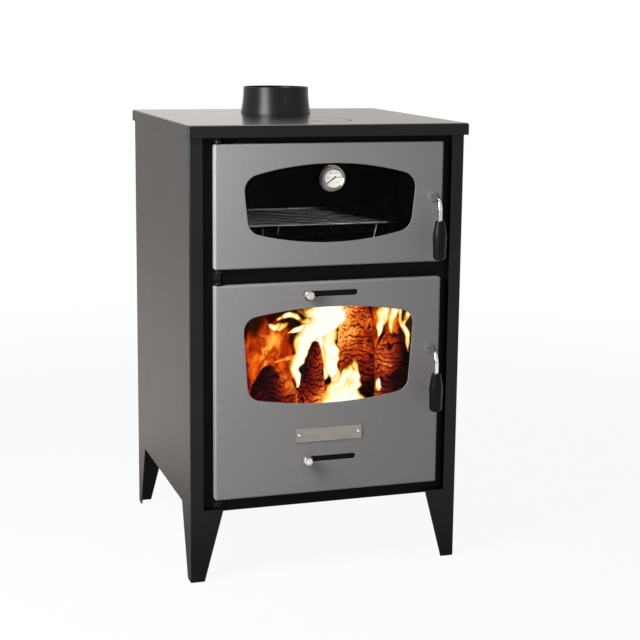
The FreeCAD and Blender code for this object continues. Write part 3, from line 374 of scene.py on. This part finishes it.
topFinish = stovePaint("rubbedBlackPaint", blackPaint["satin"], blackPaint["topGloss"])
chromeFinish = brightPlate("chromePlate", brightMetal["chrome"], brightMetal["chromeDulled"])
nickelFinish = brightPlate("dullNickelPlate", brightMetal["nickel"], brightMetal["nickelDulled"])
wireFinish = brightPlate("drawnWire", brightMetal["wire"], brightMetal["wireDulled"])
ropeFinish = knittedGlassRope()
printFinish = enamel("dialPrint", dialEnamel["black"], dialEnamel["blackWorn"])
woodFinish = charredWood()
flameFinish = openFlame("openFlame", woodFlame["flameEdge"], woodFlame["heats"])
glowFinish = openFlame("flameGlow", woodFlame["glowEdge"], woodFlame["glowHeats"])
coreFinish = openFlame("flameCore", woodFlame["coreEdge"], woodFlame["coreHeats"])
zincFinish = galvanisedSheet()
slotFinish = {
    "black_paint": stovePaint("satinBlackPaint", blackPaint["satin"]),
    "grey_paint": metallicGreyPaint(),
    "bare_steel": sootedSteel(),
    "galvanised_steel": zincFinish,
    "cast_iron": sandCastIron(),
    "firebrick": pressedFirebrick(),
    "ceramic_glass": ceramicGlass(),
    "chrome": chromeFinish,
    "brushed_steel": brushedSteel(),
    "black_bakelite": mouldedBakelite(),
    "glass_rope": ropeFinish,
    "dial_white": enamel("dialEnamel", dialEnamel["white"], dialEnamel["aged"]),
    "needle_black": printFinish,
}
nodeFinish = {  # nodes whose finish differs from their slot's
    "cooktop": topFinish,
    "hotplate_lid": topFinish,
    "front_frame": stovePaint("matteBlackPaint", blackPaint["matte"]),
    "flue_collar": stovePaint("semiGlossBlackPaint", blackPaint["semiGloss"]),
    "thermometer_case": nickelFinish,
    "thermometer_bezel": nickelFinish,
    "oven_rack": wireFinish,
    "rack_legs": wireFinish,
}
for name, node in nodes.items():
    slotName = node.data.materials[0].name
    node.data.materials[0] = nodeFinish.get(name, slotFinish[slotName])
print("finishes on", len(nodes), "nodes")


def newPiece(name, points, faces, finish, body, heat=None, smooth=True):  # a mesh that rides on a body
    mesh = bpy.data.meshes.new(name)
    mesh.from_pydata(points, [], faces)
    mesh.materials.append(finish)
    mesh.polygons.foreach_set("use_smooth", [smooth] * len(mesh.polygons))
    if heat:
        mesh.attributes.new("glowLevel", "FLOAT", "POINT").data.foreach_set("value", heat)
    mesh.update()
    piece = bpy.data.objects.new(name, mesh)
    bpy.context.scene.collection.objects.link(piece)
    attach(piece, body)
    return piece


def ringFaces(rings, sides):  # quads between rings of points
    corners = [(i * sides + j, i * sides + (j + 1) % sides) for i in range(rings - 1) for j in range(sides)]
    return [(a, b, b + sides, a + sides) for a, b in corners]


def turned(profile, place, axis, segments=24):  # points and faces of a turned shape that stands on a place
    side = axis.orthogonal().normalized()
    other = axis.cross(side)
    points = []
    for radius, height in profile:
        for i in range(segments):
            turn = 2 * math.pi * i / segments
            points.append(place + axis * height + (side * math.cos(turn) + other * math.sin(turn)) * radius)
    faces = ringFaces(len(profile), segments)
    faces.append(tuple(range((len(profile) - 1) * segments, len(profile) * segments)))
    return points, faces


def turnedSet(name, profile, places, axis, finish, body):  # several equal turned shapes as one piece
    points, faces = [], []
    for place in places:
        some, more = turned(profile, place, axis)
        faces += [tuple(i + len(points) for i in face) for face in more]
        points += some
    return newPiece(name, points, faces, finish, body)


def islands(name):  # the box of each separate solid in a node
    mesh = bmesh.new()
    mesh.from_mesh(nodes[name].data)
    bmesh.ops.remove_doubles(mesh, verts=mesh.verts, dist=0.01 * mm)
    left, found = set(mesh.verts), []
    while left:
        group, edge = set(), [left.pop()]
        while edge:
            vert = edge.pop()
            group.add(vert)
            near = {e.other_vert(vert) for e in vert.link_edges} & left
            left -= near
            edge += near
        corners = [tuple(v.co) for v in group]
        found.append((Vector(map(min, *corners)), Vector(map(max, *corners))))
    mesh.free()
    return found


# Fasteners: rivets on the plate, screws on the rear panel and on the glass clips
rivet = {"head": 2.6, "rise": 1.3, "fromEnd": 6.0}
screw = {"head": 3.4, "rise": 1.9, "socket": 1.5, "sink": 1.0, "fromEdge": 9.0, "fromSide": 24.0,
         "perSide": 5, "perEnd": 3}
screwProfile = [(radius * mm, height * mm) for radius, height in (  # a low dome with a socket
    (screw["head"], 0.0), (screw["head"], 0.25 * screw["rise"]), (0.86 * screw["head"], 0.72 * screw["rise"]),
    (1.15 * screw["socket"], screw["rise"]), (screw["socket"], 0.95 * screw["rise"]),
    (0.92 * screw["socket"], screw["rise"] - screw["sink"]))]
rivetProfile = [(rivet["head"] * math.cos(turn) * mm, rivet["rise"] * math.sin(turn) * mm)
                for turn in map(math.radians, range(0, 90, 15))]
front, rear = Vector((0, -1, 0)), Vector((0, 1, 0))

plateLow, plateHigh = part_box("name_plate")
plateMiddle = (plateLow + plateHigh) / 2
turnedSet("plateRivets", rivetProfile,
          [Vector((x, plateLow.y, plateMiddle.z)) for x in (plateLow.x + rivet["fromEnd"] * mm,
                                                            plateHigh.x - rivet["fromEnd"] * mm)],
          front, chromeFinish, "fire_door")

rearLow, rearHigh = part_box("rear_panel")
sideLow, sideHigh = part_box("left_side_panel")[0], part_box("right_side_panel")[1]
rim, inset = screw["fromEdge"] * mm, screw["fromSide"] * mm
lowest, highest = rearLow.z + rim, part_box("cooktop")[0].z - rim
rearPlaces = []
for i in range(screw["perSide"]):  # through the folded returns into the panel
    z = lowest + (highest - lowest) * i / (screw["perSide"] - 1)
    rearPlaces += [Vector((x, sideHigh.y, z)) for x in (sideLow.x + inset, sideHigh.x - inset)]
for i in range(1, screw["perEnd"] + 1):
    x = rearLow.x + rim + (rearHigh.x - rearLow.x - 2 * rim) * i / (screw["perEnd"] + 1)
    rearPlaces.append(Vector((x, rearHigh.y, lowest)))
turnedSet("rearPanelScrews", screwProfile, rearPlaces, rear, zincFinish, "stove_body")

for door in ("oven", "fire"):
    clipPlaces = [Vector(((low.x + high.x) / 2, high.y, (low.z + high.z) / 2))
                  for low, high in islands(door + "_glass_clips")]
    turnedSet(door + "ClipScrews", screwProfile, clipPlaces, rear, zincFinish, door + "_door")
print("fasteners placed")

# Rope seals: three strands laid round each door's ledge, in place of the plain CAD ring
ropeLay = {"pitch": 22.0, "corner": 9.0, "cornerPoints": 10, "step": 2.5, "strands": 3, "strandSides": 8}


def ropeSeal(door):
    node = door + "_door_seal"
    low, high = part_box(node)
    radius = (high.y - low.y) / 2
    strandRadius = radius / 2  # the strands lie half a radius out and touch
    y = (low.y + high.y) / 2
    corner = ropeLay["corner"] * mm
    x0, x1, z0, z1 = low.x + radius, high.x - radius, low.z + radius, high.z - radius
    path = []
    for cx, cz, start in ((x1, z1, 0), (x0, z1, 90), (x0, z0, 180), (x1, z0, 270)):
        middle = Vector((cx - math.copysign(corner, cx), y, cz - corner if cz == z1 else cz + corner))
        for i in range(ropeLay["cornerPoints"]):
            turn = math.radians(start + 90 * i / (ropeLay["cornerPoints"] - 1))
            path.append(middle + Vector((math.cos(turn), 0, math.sin(turn))) * corner)
    even = []
    for a, b in zip(path, path[1:] + path[:1]):  # even steps along the loop
        count = max(1, round((b - a).length / (ropeLay["step"] * mm)))
        even += [a.lerp(b, i / count) for i in range(count)]
    length = sum((b - a).length for a, b in zip(even, even[1:] + even[:1]))
    turns = round(length / (ropeLay["pitch"] * mm))
    points, faces, sides = [], [], ropeLay["strandSides"]
    for strand in range(ropeLay["strands"]):
        first, along = len(points), 0.0
        for i, spot in enumerate(even):
            ahead = even[(i + 1) % len(even)]
            tangent = (ahead - even[i - 1]).normalized()
            across = tangent.cross(rear).normalized()
            twist = 2 * math.pi * (turns * along / length + strand / ropeLay["strands"])
            centre = spot + (across * math.cos(twist) + rear * math.sin(twist)) * strandRadius
            for j in range(sides):
                turn = 2 * math.pi * j / sides
                points.append(centre + (across * math.cos(turn) + rear * math.sin(turn)) * strandRadius)
            along += (ahead - spot).length
        for i in range(len(even)):
            here, there = first + i * sides, first + (i + 1) % len(even) * sides
            for j in range(sides):
                beside = (j + 1) % sides
                faces.append((here + j, there + j, there + beside, here + beside))
    rope = newPiece(door + "RopeSeal", points, faces, ropeFinish, door + "_door")
    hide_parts(node)


for door in ("oven", "fire"):
    ropeSeal(door)
print("rope seals laid")

# Thermometer print: a scale that runs clockwise from lower left to lower right
dialPrint = {"start": -135, "sweep": 270, "divisions": 20, "outer": 0.82, "longMark": 0.17, "shortMark": 0.09,
             "longEvery": 4, "markWidth": 0.35, "numbers": ("0", "100", "200", "300", "400", "500"),
             "numberAt": 0.53, "numberHeight": 2.9, "typeSize": 1.4, "lift": 0.05,
             "unit": "°C", "unitDrop": 0.5}
dialLow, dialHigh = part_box("thermometer_dial")
dialCentre = (dialLow + dialHigh) / 2
dialCentre.y = dialLow.y - dialPrint["lift"] * mm
dialRadius = (dialHigh.x - dialLow.x) / 2


def dialPoint(turn, share):  # by degrees clockwise from the top and share of the radius
    angle = math.radians(turn)
    return dialCentre + Vector((math.sin(angle), 0, math.cos(angle))) * dialRadius * share


markPoints, markFaces = [], []
for i in range(dialPrint["divisions"] + 1):
    turn = dialPrint["start"] + dialPrint["sweep"] * i / dialPrint["divisions"]
    reach = dialPrint["longMark"] if i % dialPrint["longEvery"] == 0 else dialPrint["shortMark"]
    outer, inner = dialPoint(turn, dialPrint["outer"]), dialPoint(turn, dialPrint["outer"] - reach)
    across = (outer - inner).normalized().cross(front) * dialPrint["markWidth"] / 2 * mm
    first = len(markPoints)
    markPoints += [inner - across, inner + across, outer + across, outer - across]
    markFaces.append((first, first + 1, first + 2, first + 3))
newPiece("dialMarks", markPoints, markFaces, printFinish, "oven_door")


def printedText(name, words, place):
    text = bpy.data.curves.new(name, "FONT")
    text.body, text.size = words, dialPrint["numberHeight"] * mm * dialPrint["typeSize"]
    text.align_x, text.align_y = "CENTER", "CENTER"
    text.materials.append(printFinish)
    piece = bpy.data.objects.new(name, text)
    bpy.context.scene.collection.objects.link(piece)
    piece.matrix_world = Matrix.Translation(place) @ Matrix.Rotation(math.pi / 2, 4, "X")
    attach(piece, "oven_door")


for i, words in enumerate(dialPrint["numbers"]):
    turn = dialPrint["start"] + dialPrint["sweep"] * i / (len(dialPrint["numbers"]) - 1)
    printedText("dialNumber" + words, words, dialPoint(turn, dialPrint["numberAt"]))
printedText("dialUnit", dialPrint["unit"], dialPoint(180, dialPrint["unitDrop"]))

# Needle: a tapered blade, blunt at its tail, on a small hub, in place of the thinner CAD needle
needleBlade = {"tip": 16.5, "tail": 6.0, "tipWidth": 1.2, "tailWidth": 2.6, "sheet": 0.4, "hub": 1.5,
               "angle": 215}
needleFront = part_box("thermometer_needle")[0].y
pointing = math.radians(needleBlade["angle"])  # anticlockwise from the right, as the CAD needle points
along = Vector((math.cos(pointing), 0, math.sin(pointing))) * mm
across = Vector((-math.sin(pointing), 0, math.cos(pointing))) * mm
sheet = Vector((0, needleBlade["sheet"] * mm, 0))
pivot = Vector((dialCentre.x, needleFront, dialCentre.z))
outline = [along * reach + across * width / 2 for reach, width in (
    (-needleBlade["tail"], -needleBlade["tailWidth"]), (needleBlade["tip"], -needleBlade["tipWidth"]),
    (needleBlade["tip"] + needleBlade["tipWidth"] / 2, 0.0), (needleBlade["tip"], needleBlade["tipWidth"]),
    (-needleBlade["tail"], needleBlade["tailWidth"]))]
needlePoints = [pivot + level * sheet + point for level in (1, 2) for point in outline]
sides = len(outline)
needleFaces = [tuple(range(sides)), tuple(reversed(range(sides, 2 * sides)))]
needleFaces += [(i, i + sides, (i + 1) % sides + sides, (i + 1) % sides) for i in range(sides)]
hubProfile = [(needleBlade["hub"] * mm, 0.0), (needleBlade["hub"] * mm, 0.7 * needleBlade["sheet"] * mm),
              (0.8 * needleBlade["hub"] * mm, needleBlade["sheet"] * mm)]
hubPoints, hubFaces = turned(hubProfile, pivot + sheet, front)
needleFaces += [tuple(i + len(needlePoints) for i in face) for face in hubFaces]
needle = newPiece("dialNeedle", needlePoints + hubPoints, needleFaces, printFinish, "needle", smooth=False)
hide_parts("thermometer_needle")
print("dial printed")

# Fire: leaning logs, a bed of embers and flames, standing on the grate
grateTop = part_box("fire_grate")[1].z
logs = {  # foot x, y, top x, y, z, radius in mm; radius and length shares of tip; foot and top heat; seed
    "middleLog": ((12, -62), (25, -56, 373), 24, (0.75, 0.55), (0.8, 0.46), 3),
    "bigLog": ((110, -40), (130, 34, 462), 40, (0.4, 0.06), (0.1, 0.8), 7),
    "rightLog": ((146, -128), (145, -124, 396), 31, (0.9, 0.24), (0.06, 0.4), 11),
    "leftLog": ((-58, -76), (-66, -72, 337), 43, (0.85, 0.75), (0.48, 0.42), 19),
    "backLog": ((-60, 90), (-10, 120, 350), 26, (0.78, 0.08), (0.3, 0.26), 15),
}
logSkin = {"rings": 170, "sides": 96, "crackStep": 10.5, "fineStep": 4.3, "crack": 2.6, "fineCrack": 0.5,
           "lump": 0.16, "lumpLength": 38, "chip": 0.05, "chipLength": 8, "patchLength": 30, "flameX": 52,
           "footRise": 0.35, "footRound": (0.55, 6), "tipRound": 0.16, "taperPower": 1.8}
logGlow = {"rise": 1.7, "paintedFlameLight": 0.25, "patch": 0.24, "lump": 0.1, "crack": -0.75, "fineCrack": -0.1}
crackShape = {"wander": 1.3, "wanderLength": 30, "jitter": 0.55, "jitterLength": 11, "whole": 0.7,
              "breaks": 1.3, "breakLength": 12, "lip": 0.62}


def crackAt(skin, step, shift):  # 0 on the wood to 1 in a wavy crack across the grain
    wander = crackShape["wander"] * noise.noise(skin / crackShape["wanderLength"] + shift)
    jitter = crackShape["jitter"] * noise.noise(skin / crackShape["jitterLength"] + shift)
    phase = skin.z / step + wander + jitter
    near = abs(phase - math.floor(phase) - 0.5) * 2
    breaks = crackShape["breaks"] * noise.noise(skin / crackShape["breakLength"] + shift * 2)
    whole = min(1.0, max(0.0, crackShape["whole"] + breaks))
    return max(0.0, (near - crackShape["lip"]) / (1 - crackShape["lip"])) * whole


def burningLog(name, foot, top, radius, taper, hotness, seed):
    foot = Vector((foot[0] * mm, foot[1] * mm, grateTop + radius * logSkin["footRise"] * mm))
    top = Vector(top) * mm
    axis = (top - foot).normalized()
    length = (top - foot).length
    side = axis.orthogonal().normalized()
    other = axis.cross(side)
    shift = Vector((seed * 7.3, seed * 3.1, seed * 5.7))  # each log has its own stretch of noise
    toFlame = math.copysign(1.0, logSkin["flameX"] - foot.x / mm)
    rings, sides = logSkin["rings"], logSkin["sides"]
    points, heat = [], []
    for i in range(rings + 1):
        t = i / rings
        footShare = logSkin["footRound"][0] + logSkin["footRound"][1] * t
        tipShare = logSkin["tipRound"] + (1 - logSkin["tipRound"]) * math.sqrt((1 - t) / taper[1])
        slim = (1 - (1 - taper[0]) * t ** logSkin["taperPower"]) * min(1.0, footShare, tipShare)
        for j in range(sides):
            turn = 2 * math.pi * j / sides
            out = side * math.cos(turn) + other * math.sin(turn)
            skin = Vector((math.cos(turn) * radius, math.sin(turn) * radius, t * length / mm))  # in mm
            lump = noise.noise(skin / logSkin["lumpLength"] + shift)
            chip = logSkin["chip"] * noise.noise(skin / logSkin["chipLength"] + shift)
            crack = crackAt(skin, logSkin["crackStep"], shift)
            fine = crackAt(skin, logSkin["fineStep"], shift * 3)
            whole = radius * slim * (1 + logSkin["lump"] * lump + chip)
            reach = whole - logSkin["crack"] * crack - logSkin["fineCrack"] * fine
            points.append(foot + axis * length * t + out * reach * mm)
            patch = noise.noise(skin / logSkin["patchLength"] + shift * 2)
            warm = hotness[0] + (hotness[1] - hotness[0]) * min(1.0, logGlow["rise"] * t)
            # the side toward the flames glows more: partly hotter wood, partly painted light from the flames
            warm += logGlow["paintedFlameLight"] * toFlame * out.x + logGlow["patch"] * patch + logGlow["lump"] * lump
            warm += logGlow["crack"] * crack + logGlow["fineCrack"] * fine
            heat.append(min(1.0, max(0.0, warm)))
    faces = ringFaces(rings + 1, sides)
    faces += [tuple(reversed(range(sides))), tuple(range(rings * sides, (rings + 1) * sides))]
    newPiece(name, points, faces, woodFinish, "stove_body", heat)


for name, shape in logs.items():
    burningLog(name, *shape)

emberBed = {"centre": (0, -35), "spread": (150, 112), "count": 110, "size": (7, 16), "seed": 21,
            "turnStep": 2.4, "rise": 0.6, "mound": 10, "stretch": ((0.9, 1.4), (0.8, 1.2), (0.6, 0.9)),
            "lumps": 1.4, "lump": 0.4, "plates": 2.2, "crackWidth": 0.2, "crackDepth": 0.07,
            "heat": (0.3, 0.46), "hotX": -40, "cooling": 0.0012, "lumpHeat": 0.5, "crackHeat": 0.3}
scatter = random.Random(emberBed["seed"])
bed, bedHeat = bmesh.new(), []
for i in range(emberBed["count"]):
    out = math.sqrt((i + 0.5) / emberBed["count"])  # from the middle of the bed to its rim
    turn = emberBed["turnStep"] * i
    size = scatter.uniform(*emberBed["size"])
    x = emberBed["centre"][0] + emberBed["spread"][0] * out * math.cos(turn)
    y = emberBed["centre"][1] + emberBed["spread"][1] * out * math.sin(turn)
    z = grateTop / mm + size * emberBed["rise"] + emberBed["mound"] * (1 - out) * scatter.random()
    hotness = scatter.uniform(*emberBed["heat"]) - emberBed["cooling"] * abs(x - emberBed["hotX"])
    made = bmesh.ops.create_icosphere(bed, subdivisions=3, radius=1.0)
    stretch = [scatter.uniform(*span) for span in emberBed["stretch"]]
    for vert in made["verts"]:
        own = vert.co + Vector((3.0 * i, 2.0 * i, i))  # each ember has its own stretch of noise
        lump = noise.noise(own * emberBed["lumps"]) * emberBed["lump"]
        near = noise.voronoi(own * emberBed["plates"])[0]
        crack = max(0.0, 1 - (near[1] - near[0]) / emberBed["crackWidth"])  # glows between black plates
        warm = hotness + emberBed["lumpHeat"] * lump + emberBed["crackHeat"] * crack
        bedHeat.append(min(1.0, max(0.0, warm)))
        reach = size * (1 + lump - emberBed["crackDepth"] * crack)
        vert.co = (Vector(a * b for a, b in zip(vert.co, stretch)) * reach + Vector((x, y, z))) * mm
bedMesh = bpy.data.meshes.new("embers")
bed.to_mesh(bedMesh)
bed.free()
newPiece("embers", [tuple(v.co) for v in bedMesh.vertices], [tuple(p.vertices) for p in bedMesh.polygons],
         woodFinish, "stove_body", bedHeat)
bpy.data.meshes.remove(bedMesh)
print("logs and embers laid")

flames = {  # depth, heat, and a few points up the middle of each: across, height and half the width in mm
    "rearGlow": (90, 0.6, ((-31, 250, 40), (-25, 320, 51), (-17, 400, 35))),
    "leftGlow": (60, 0.44, ((-58, 255, 16), (-63, 320, 22), (-68, 390, 5))),
    "middleGlow": (70, 0.42, ((12, 248, 21), (5, 310, 27), (10, 363, 8))),
    "rightGlow": (20, 0.5, ((167, 296, 9), (165, 360, 14), (163, 430, 14))),
    "rearCrown": (34, 1.4, ((52, 330, 20), (60, 385, 40), (68, 450, 54))),
    "crown": (-60, 1.75, ((24, 381, 9), (34, 400, 25), (44, 420, 39), (48, 447, 44))),
    "leftLobe": (-40, 1.4, ((-3, 286, 4), (-7, 320, 12), (0, 350, 16), (16, 382, 20), (52, 420, 24))),
    "rightLobe": (-36, 1.3, ((74, 282, 10), (66, 306, 14), (61, 335, 16), (57, 366, 17), (52, 418, 24))),
    "lobeCore": (6, 0.95, ((44, 269, 20), (50, 320, 26), (53, 356, 22))),
    "frontFlame": (-110, 1.3, ((58, 254, 42), (60, 288, 39), (68, 316, 24), (82, 352, 3))),
    "frontTongue": (-104, 1.2, ((34, 261, 22), (41, 290, 20), (50, 328, 5))),
    "leftPoint": (8, 1.2, ((31, 387, 10), (10, 382, 6), (-10, 376, 1))),
    "lowerCurl": (14, 0.85, ((-44, 394, 4), (-24, 387, 9), (-4, 396, 4))),
    "upperCurl": (20, 0.85, ((-26, 400, 4), (-2, 409, 7), (25, 397, 6))),
    "leftLick": (-20, 0.66, ((4, 340, 7), (-22, 336, 6), (-52, 326, 2))),
    "wideStreak": (-140, 1.15, ((111, 392, 3), (118, 418, 11), (126, 461, 17))),
    "middleStreak": (-142, 1.05, ((135, 397, 3), (138, 430, 9), (143, 461, 12))),
    "bentStreak": (-146, 1.05, ((169, 364, 1), (164, 396, 6), (152, 430, 5), (151, 461, 6))),
    "thinStreak": (-148, 0.95, ((156, 406, 2), (164, 432, 6), (168, 461, 7))),
    "streakGlow": (-90, 0.56, ((157, 358, 12), (155, 410, 22), (154, 449, 22))),
    "footFlame": (-138, 0.85, ((117, 295, 6), (117, 305, 9), (119, 324, 2))),
}
flameShape = {"steps": 16, "columns": 16, "bulge": 0.5, "ragged": 0.45, "rag": 13, "ragApart": 40,
              "thinnest": 0.5, "sway": 4.0, "swayLength": 24, "footFade": (0.4, 5), "tipFade": (0.2, 3),
              "glowBelow": 0.7, "coreAbove": 1.6}


def flameRibbon(name, depth, hotness, points):
    spine = [Vector((x, z, half)) for x, z, half in points]
    spine = [2 * spine[0] - spine[1]] + spine + [2 * spine[-1] - spine[-2]]
    rows = []
    for i in range(1, len(spine) - 2):  # a smooth curve through the points
        a, b, c, d = spine[i - 1:i + 3]
        for k in range(flameShape["steps"] + (i == len(spine) - 3)):
            s = k / flameShape["steps"]
            rows.append(0.5 * (2 * b + (c - a) * s + (2 * a - 5 * b + 4 * c - d) * s ** 2
                               + (3 * b - a - 3 * c + d) * s ** 3))
    columns, verts, heat = flameShape["columns"], [], []
    (footHeat, footGain), (tipHeat, tipGain) = flameShape["footFade"], flameShape["tipFade"]
    for i, row in enumerate(rows):
        run = (rows[min(i + 1, len(rows) - 1)] - rows[max(i - 1, 0)]).to_2d().normalized()
        t = i / (len(rows) - 1)
        ends = min(1.0, footHeat + footGain * t) * min(1.0, tipHeat + tipGain * (1 - t))
        sway = flameShape["sway"] * noise.noise(Vector((depth, 0, row.y)) / flameShape["swayLength"])
        for j in range(columns + 1):
            u = 2 * j / columns - 1
            dome = 1 - u * u  # fullest along the middle
            apart = math.copysign(flameShape["ragApart"], u)
            spot = Vector((row.x, depth + apart, row.y)) / flameShape["rag"]
            half = max(row.z, flameShape["thinnest"]) * (1 + flameShape["ragged"] * noise.noise(spot))
            verts.append(Vector((row.x + sway + run.y * half * u, depth - flameShape["bulge"] * half * dome,
                                 row.y - run.x * half * u)) * mm)
            heat.append(hotness * dome * ends)
    wide = columns + 1
    faces = [(i * wide + j, i * wide + j + 1, i * wide + j + 1 + wide, i * wide + j + wide)
             for i in range(len(rows) - 1) for j in range(columns)]
    finish = flameFinish
    if hotness < flameShape["glowBelow"]:
        finish = glowFinish
    elif hotness > flameShape["coreAbove"]:
        finish = coreFinish
    newPiece(name, verts, faces, finish, "stove_body", heat)


for name, tongue in flames.items():
    flameRibbon(name, *tongue)
print("flames lit:", len(flames))

# Stage: pale floor, white surround, soft lamps. Lengths are in metres, the floor's grain in mm
studio = {"floorSize": 90.0, "floorColours": ("#b8b7b4", "#c2c1be"), "floorGrain": 60, "floorRoughness": 0.8,
          "floorSpecular": 0.1, "ambient": 0.1, "white": 1.0, "mirrorTint": "#fff8f2",
          "fade": {"From Min": 0.9, "From Max": 2.6, "To Min": 0.93, "To Max": 1.0},
          # floor brightness for mirror rays only: a painted pool of light near the stove, a little darker far
          # off
          "mirrored": {"From Min": 1.6, "From Max": 4.5, "To Min": 1.25, "To Max": 0.85},
          # a painted shadow of the stove on the floor close around it, seen in mirror rays only
          "paintedStoveShadow": {"From Min": 0.3, "From Max": 0.8, "To Min": 0.3, "To Max": 1.0},
          # place, target and size in metres, power in watts
          "lamps": {"keyLamp": ((-0.85, -0.5, 0.98), (-0.12, -0.21, 0.58), (0.45, 0.9), 27),
                    "backLamp": ((0.15, 3.2, 1.1), (0.0, 0.0, 0.82), (1.5, 0.6), 0.9),
                    "fillLamp": ((2.2, -2.4, 1.2), (0.0, -0.1, 0.45), (1.6, 1.6), 3),
                    "glintLamp": ((0.9, -2.7, 1.15), (0.0, 0.0, 0.66), (0.25, 0.25), 1.6),
                    "topLamp": ((0.3, 0.5, 2.8), (0.0, 0.0, 0.7), (1.2, 1.2), 20)}}


def backgroundRays(tree):  # 1 for camera and glass rays, 1 for mirror rays, and the tint that each finds
    path = addNode(tree, "LightPath")
    seen = addNode(tree, "Math", {0: path.outputs["Is Camera Ray"], 1: path.outputs["Is Transmission Ray"]},
                   operation="MAXIMUM")
    mirrored = path.outputs["Is Glossy Ray"]
    tint = addNode(tree, "Mix", {0: mirrored, 6: (1, 1, 1, 1), 7: linear(studio["mirrorTint"])},
                   data_type="RGBA")
    return seen.outputs[0], mirrored, tint.outputs[2]


half = studio["floorSize"] / 2
floorMesh = bpy.data.meshes.new("floor")
floorMesh.from_pydata([(-half, -half, 0), (half, -half, 0), (half, half, 0), (-half, half, 0)], [],
                      [(0, 1, 2, 3)])
floor = bpy.data.objects.new("floor", floorMesh)
bpy.context.scene.collection.objects.link(floor)
floorFinish, tree, shader, place = newFinish("paleFloor", Roughness=studio["floorRoughness"],
                                             Specular_IOR_Level=studio["floorSpecular"])
grain = addNode(tree, "TexNoise", {"Vector": place, "Scale": 1000 / studio["floorGrain"], "Detail": 3.0})
tone = addNode(tree, "ValToRGB", {"Fac": grain.outputs[0]},
               stops=[(0.3, studio["floorColours"][0]), (0.7, studio["floorColours"][1])])
plug(shader, Base_Color=tone.outputs[0])
away = addNode(tree, "VectorMath", {0: place}, operation="LENGTH")
share = addNode(tree, "MapRange", {"Value": away.outputs["Value"], **studio["fade"]},
                interpolation_type="SMOOTHSTEP")  # the floor runs out into the white surround
seen, mirrored, tint = backgroundRays(tree)
own = addNode(tree, "Math", {0: seen, 1: share.outputs[0], 2: mirrored}, operation="MULTIPLY_ADD")
# Mirror rays see painted light and shade: a lit pool near the stove, dimmer far off, and a painted stove
# shadow close by
paintedFloorLight = addNode(tree, "MapRange", {"Value": away.outputs["Value"], **studio["mirrored"]})
near = addNode(tree, "MapRange", {"Value": away.outputs["Value"], **studio["paintedStoveShadow"]})
paintedLightAndShade = addNode(tree, "Math", {0: paintedFloorLight.outputs[0], 1: near.outputs[0]}, operation="MULTIPLY")
bright = addNode(tree, "Mix", {0: mirrored, 2: studio["white"], 3: paintedLightAndShade.outputs[0]})
white = addNode(tree, "Emission", {"Color": tint, "Strength": bright.outputs[0]})
both = addNode(tree, "MixShader", {0: own.outputs[0], 1: shader.outputs[0], 2: white.outputs[0]})
plug(tree.nodes["Material Output"], Surface=both.outputs[0])
floorMesh.materials.append(floorFinish)

world = bpy.data.worlds.new("whiteStudio")
bpy.context.scene.world = world
world.use_nodes = True
tree = world.node_tree
seen, mirrored, tint = backgroundRays(tree)
level = addNode(tree, "Math", {0: seen, 1: studio["white"] - studio["ambient"], 2: studio["ambient"]},
                operation="MULTIPLY_ADD")
level = addNode(tree, "Math", {0: mirrored, 1: studio["mirrored"]["To Max"] - studio["ambient"],
                               2: level.outputs[0]}, operation="MULTIPLY_ADD")
plug(tree.nodes["Background"], Color=tint, Strength=level.outputs[0])

for name, (place, target, size, power) in studio["lamps"].items():
    lamp = bpy.data.lights.new(name, "AREA")
    lamp.shape, lamp.energy = "RECTANGLE", power
    lamp.size, lamp.size_y = size
    holder = bpy.data.objects.new(name, lamp)
    bpy.context.scene.collection.objects.link(holder)
    holder.location = place
    holder.visible_camera = False
    holder.rotation_euler = (Vector(target) - Vector(place)).to_track_quat("-Z", "Y").to_euler()

# Camera: fitted to the photograph's straight edges
view = {"place": (-759.17, -2487.13, 923.52), "yaw": 0.3181, "pitch": 0.1769, "roll": 0.0114, "lens": 81.65,
        "sensor": 36, "shift": (-0.0078, -0.0469)}
levelShare = math.cos(view["pitch"])
ahead = Vector((math.sin(view["yaw"]) * levelShare, math.cos(view["yaw"]) * levelShare,
                -math.sin(view["pitch"])))
level = Vector((math.cos(view["yaw"]), -math.sin(view["yaw"]), 0))
upright = level.cross(ahead)
right = level * math.cos(view["roll"]) + upright * math.sin(view["roll"])
up = upright * math.cos(view["roll"]) - level * math.sin(view["roll"])
lens = bpy.data.cameras.new("camera")
lens.lens, lens.sensor_width = view["lens"], view["sensor"]
lens.shift_x, lens.shift_y = view["shift"]
camera = bpy.data.objects.new("camera", lens)
bpy.context.scene.collection.objects.link(camera)
camera.matrix_world = (Matrix.Translation(Vector(view["place"]) * mm)
                       @ Matrix((right, up, -ahead)).transposed().to_4x4())
bpy.context.scene.camera = camera
bpy.context.scene.view_settings.view_transform = "Standard"
print("stage set")
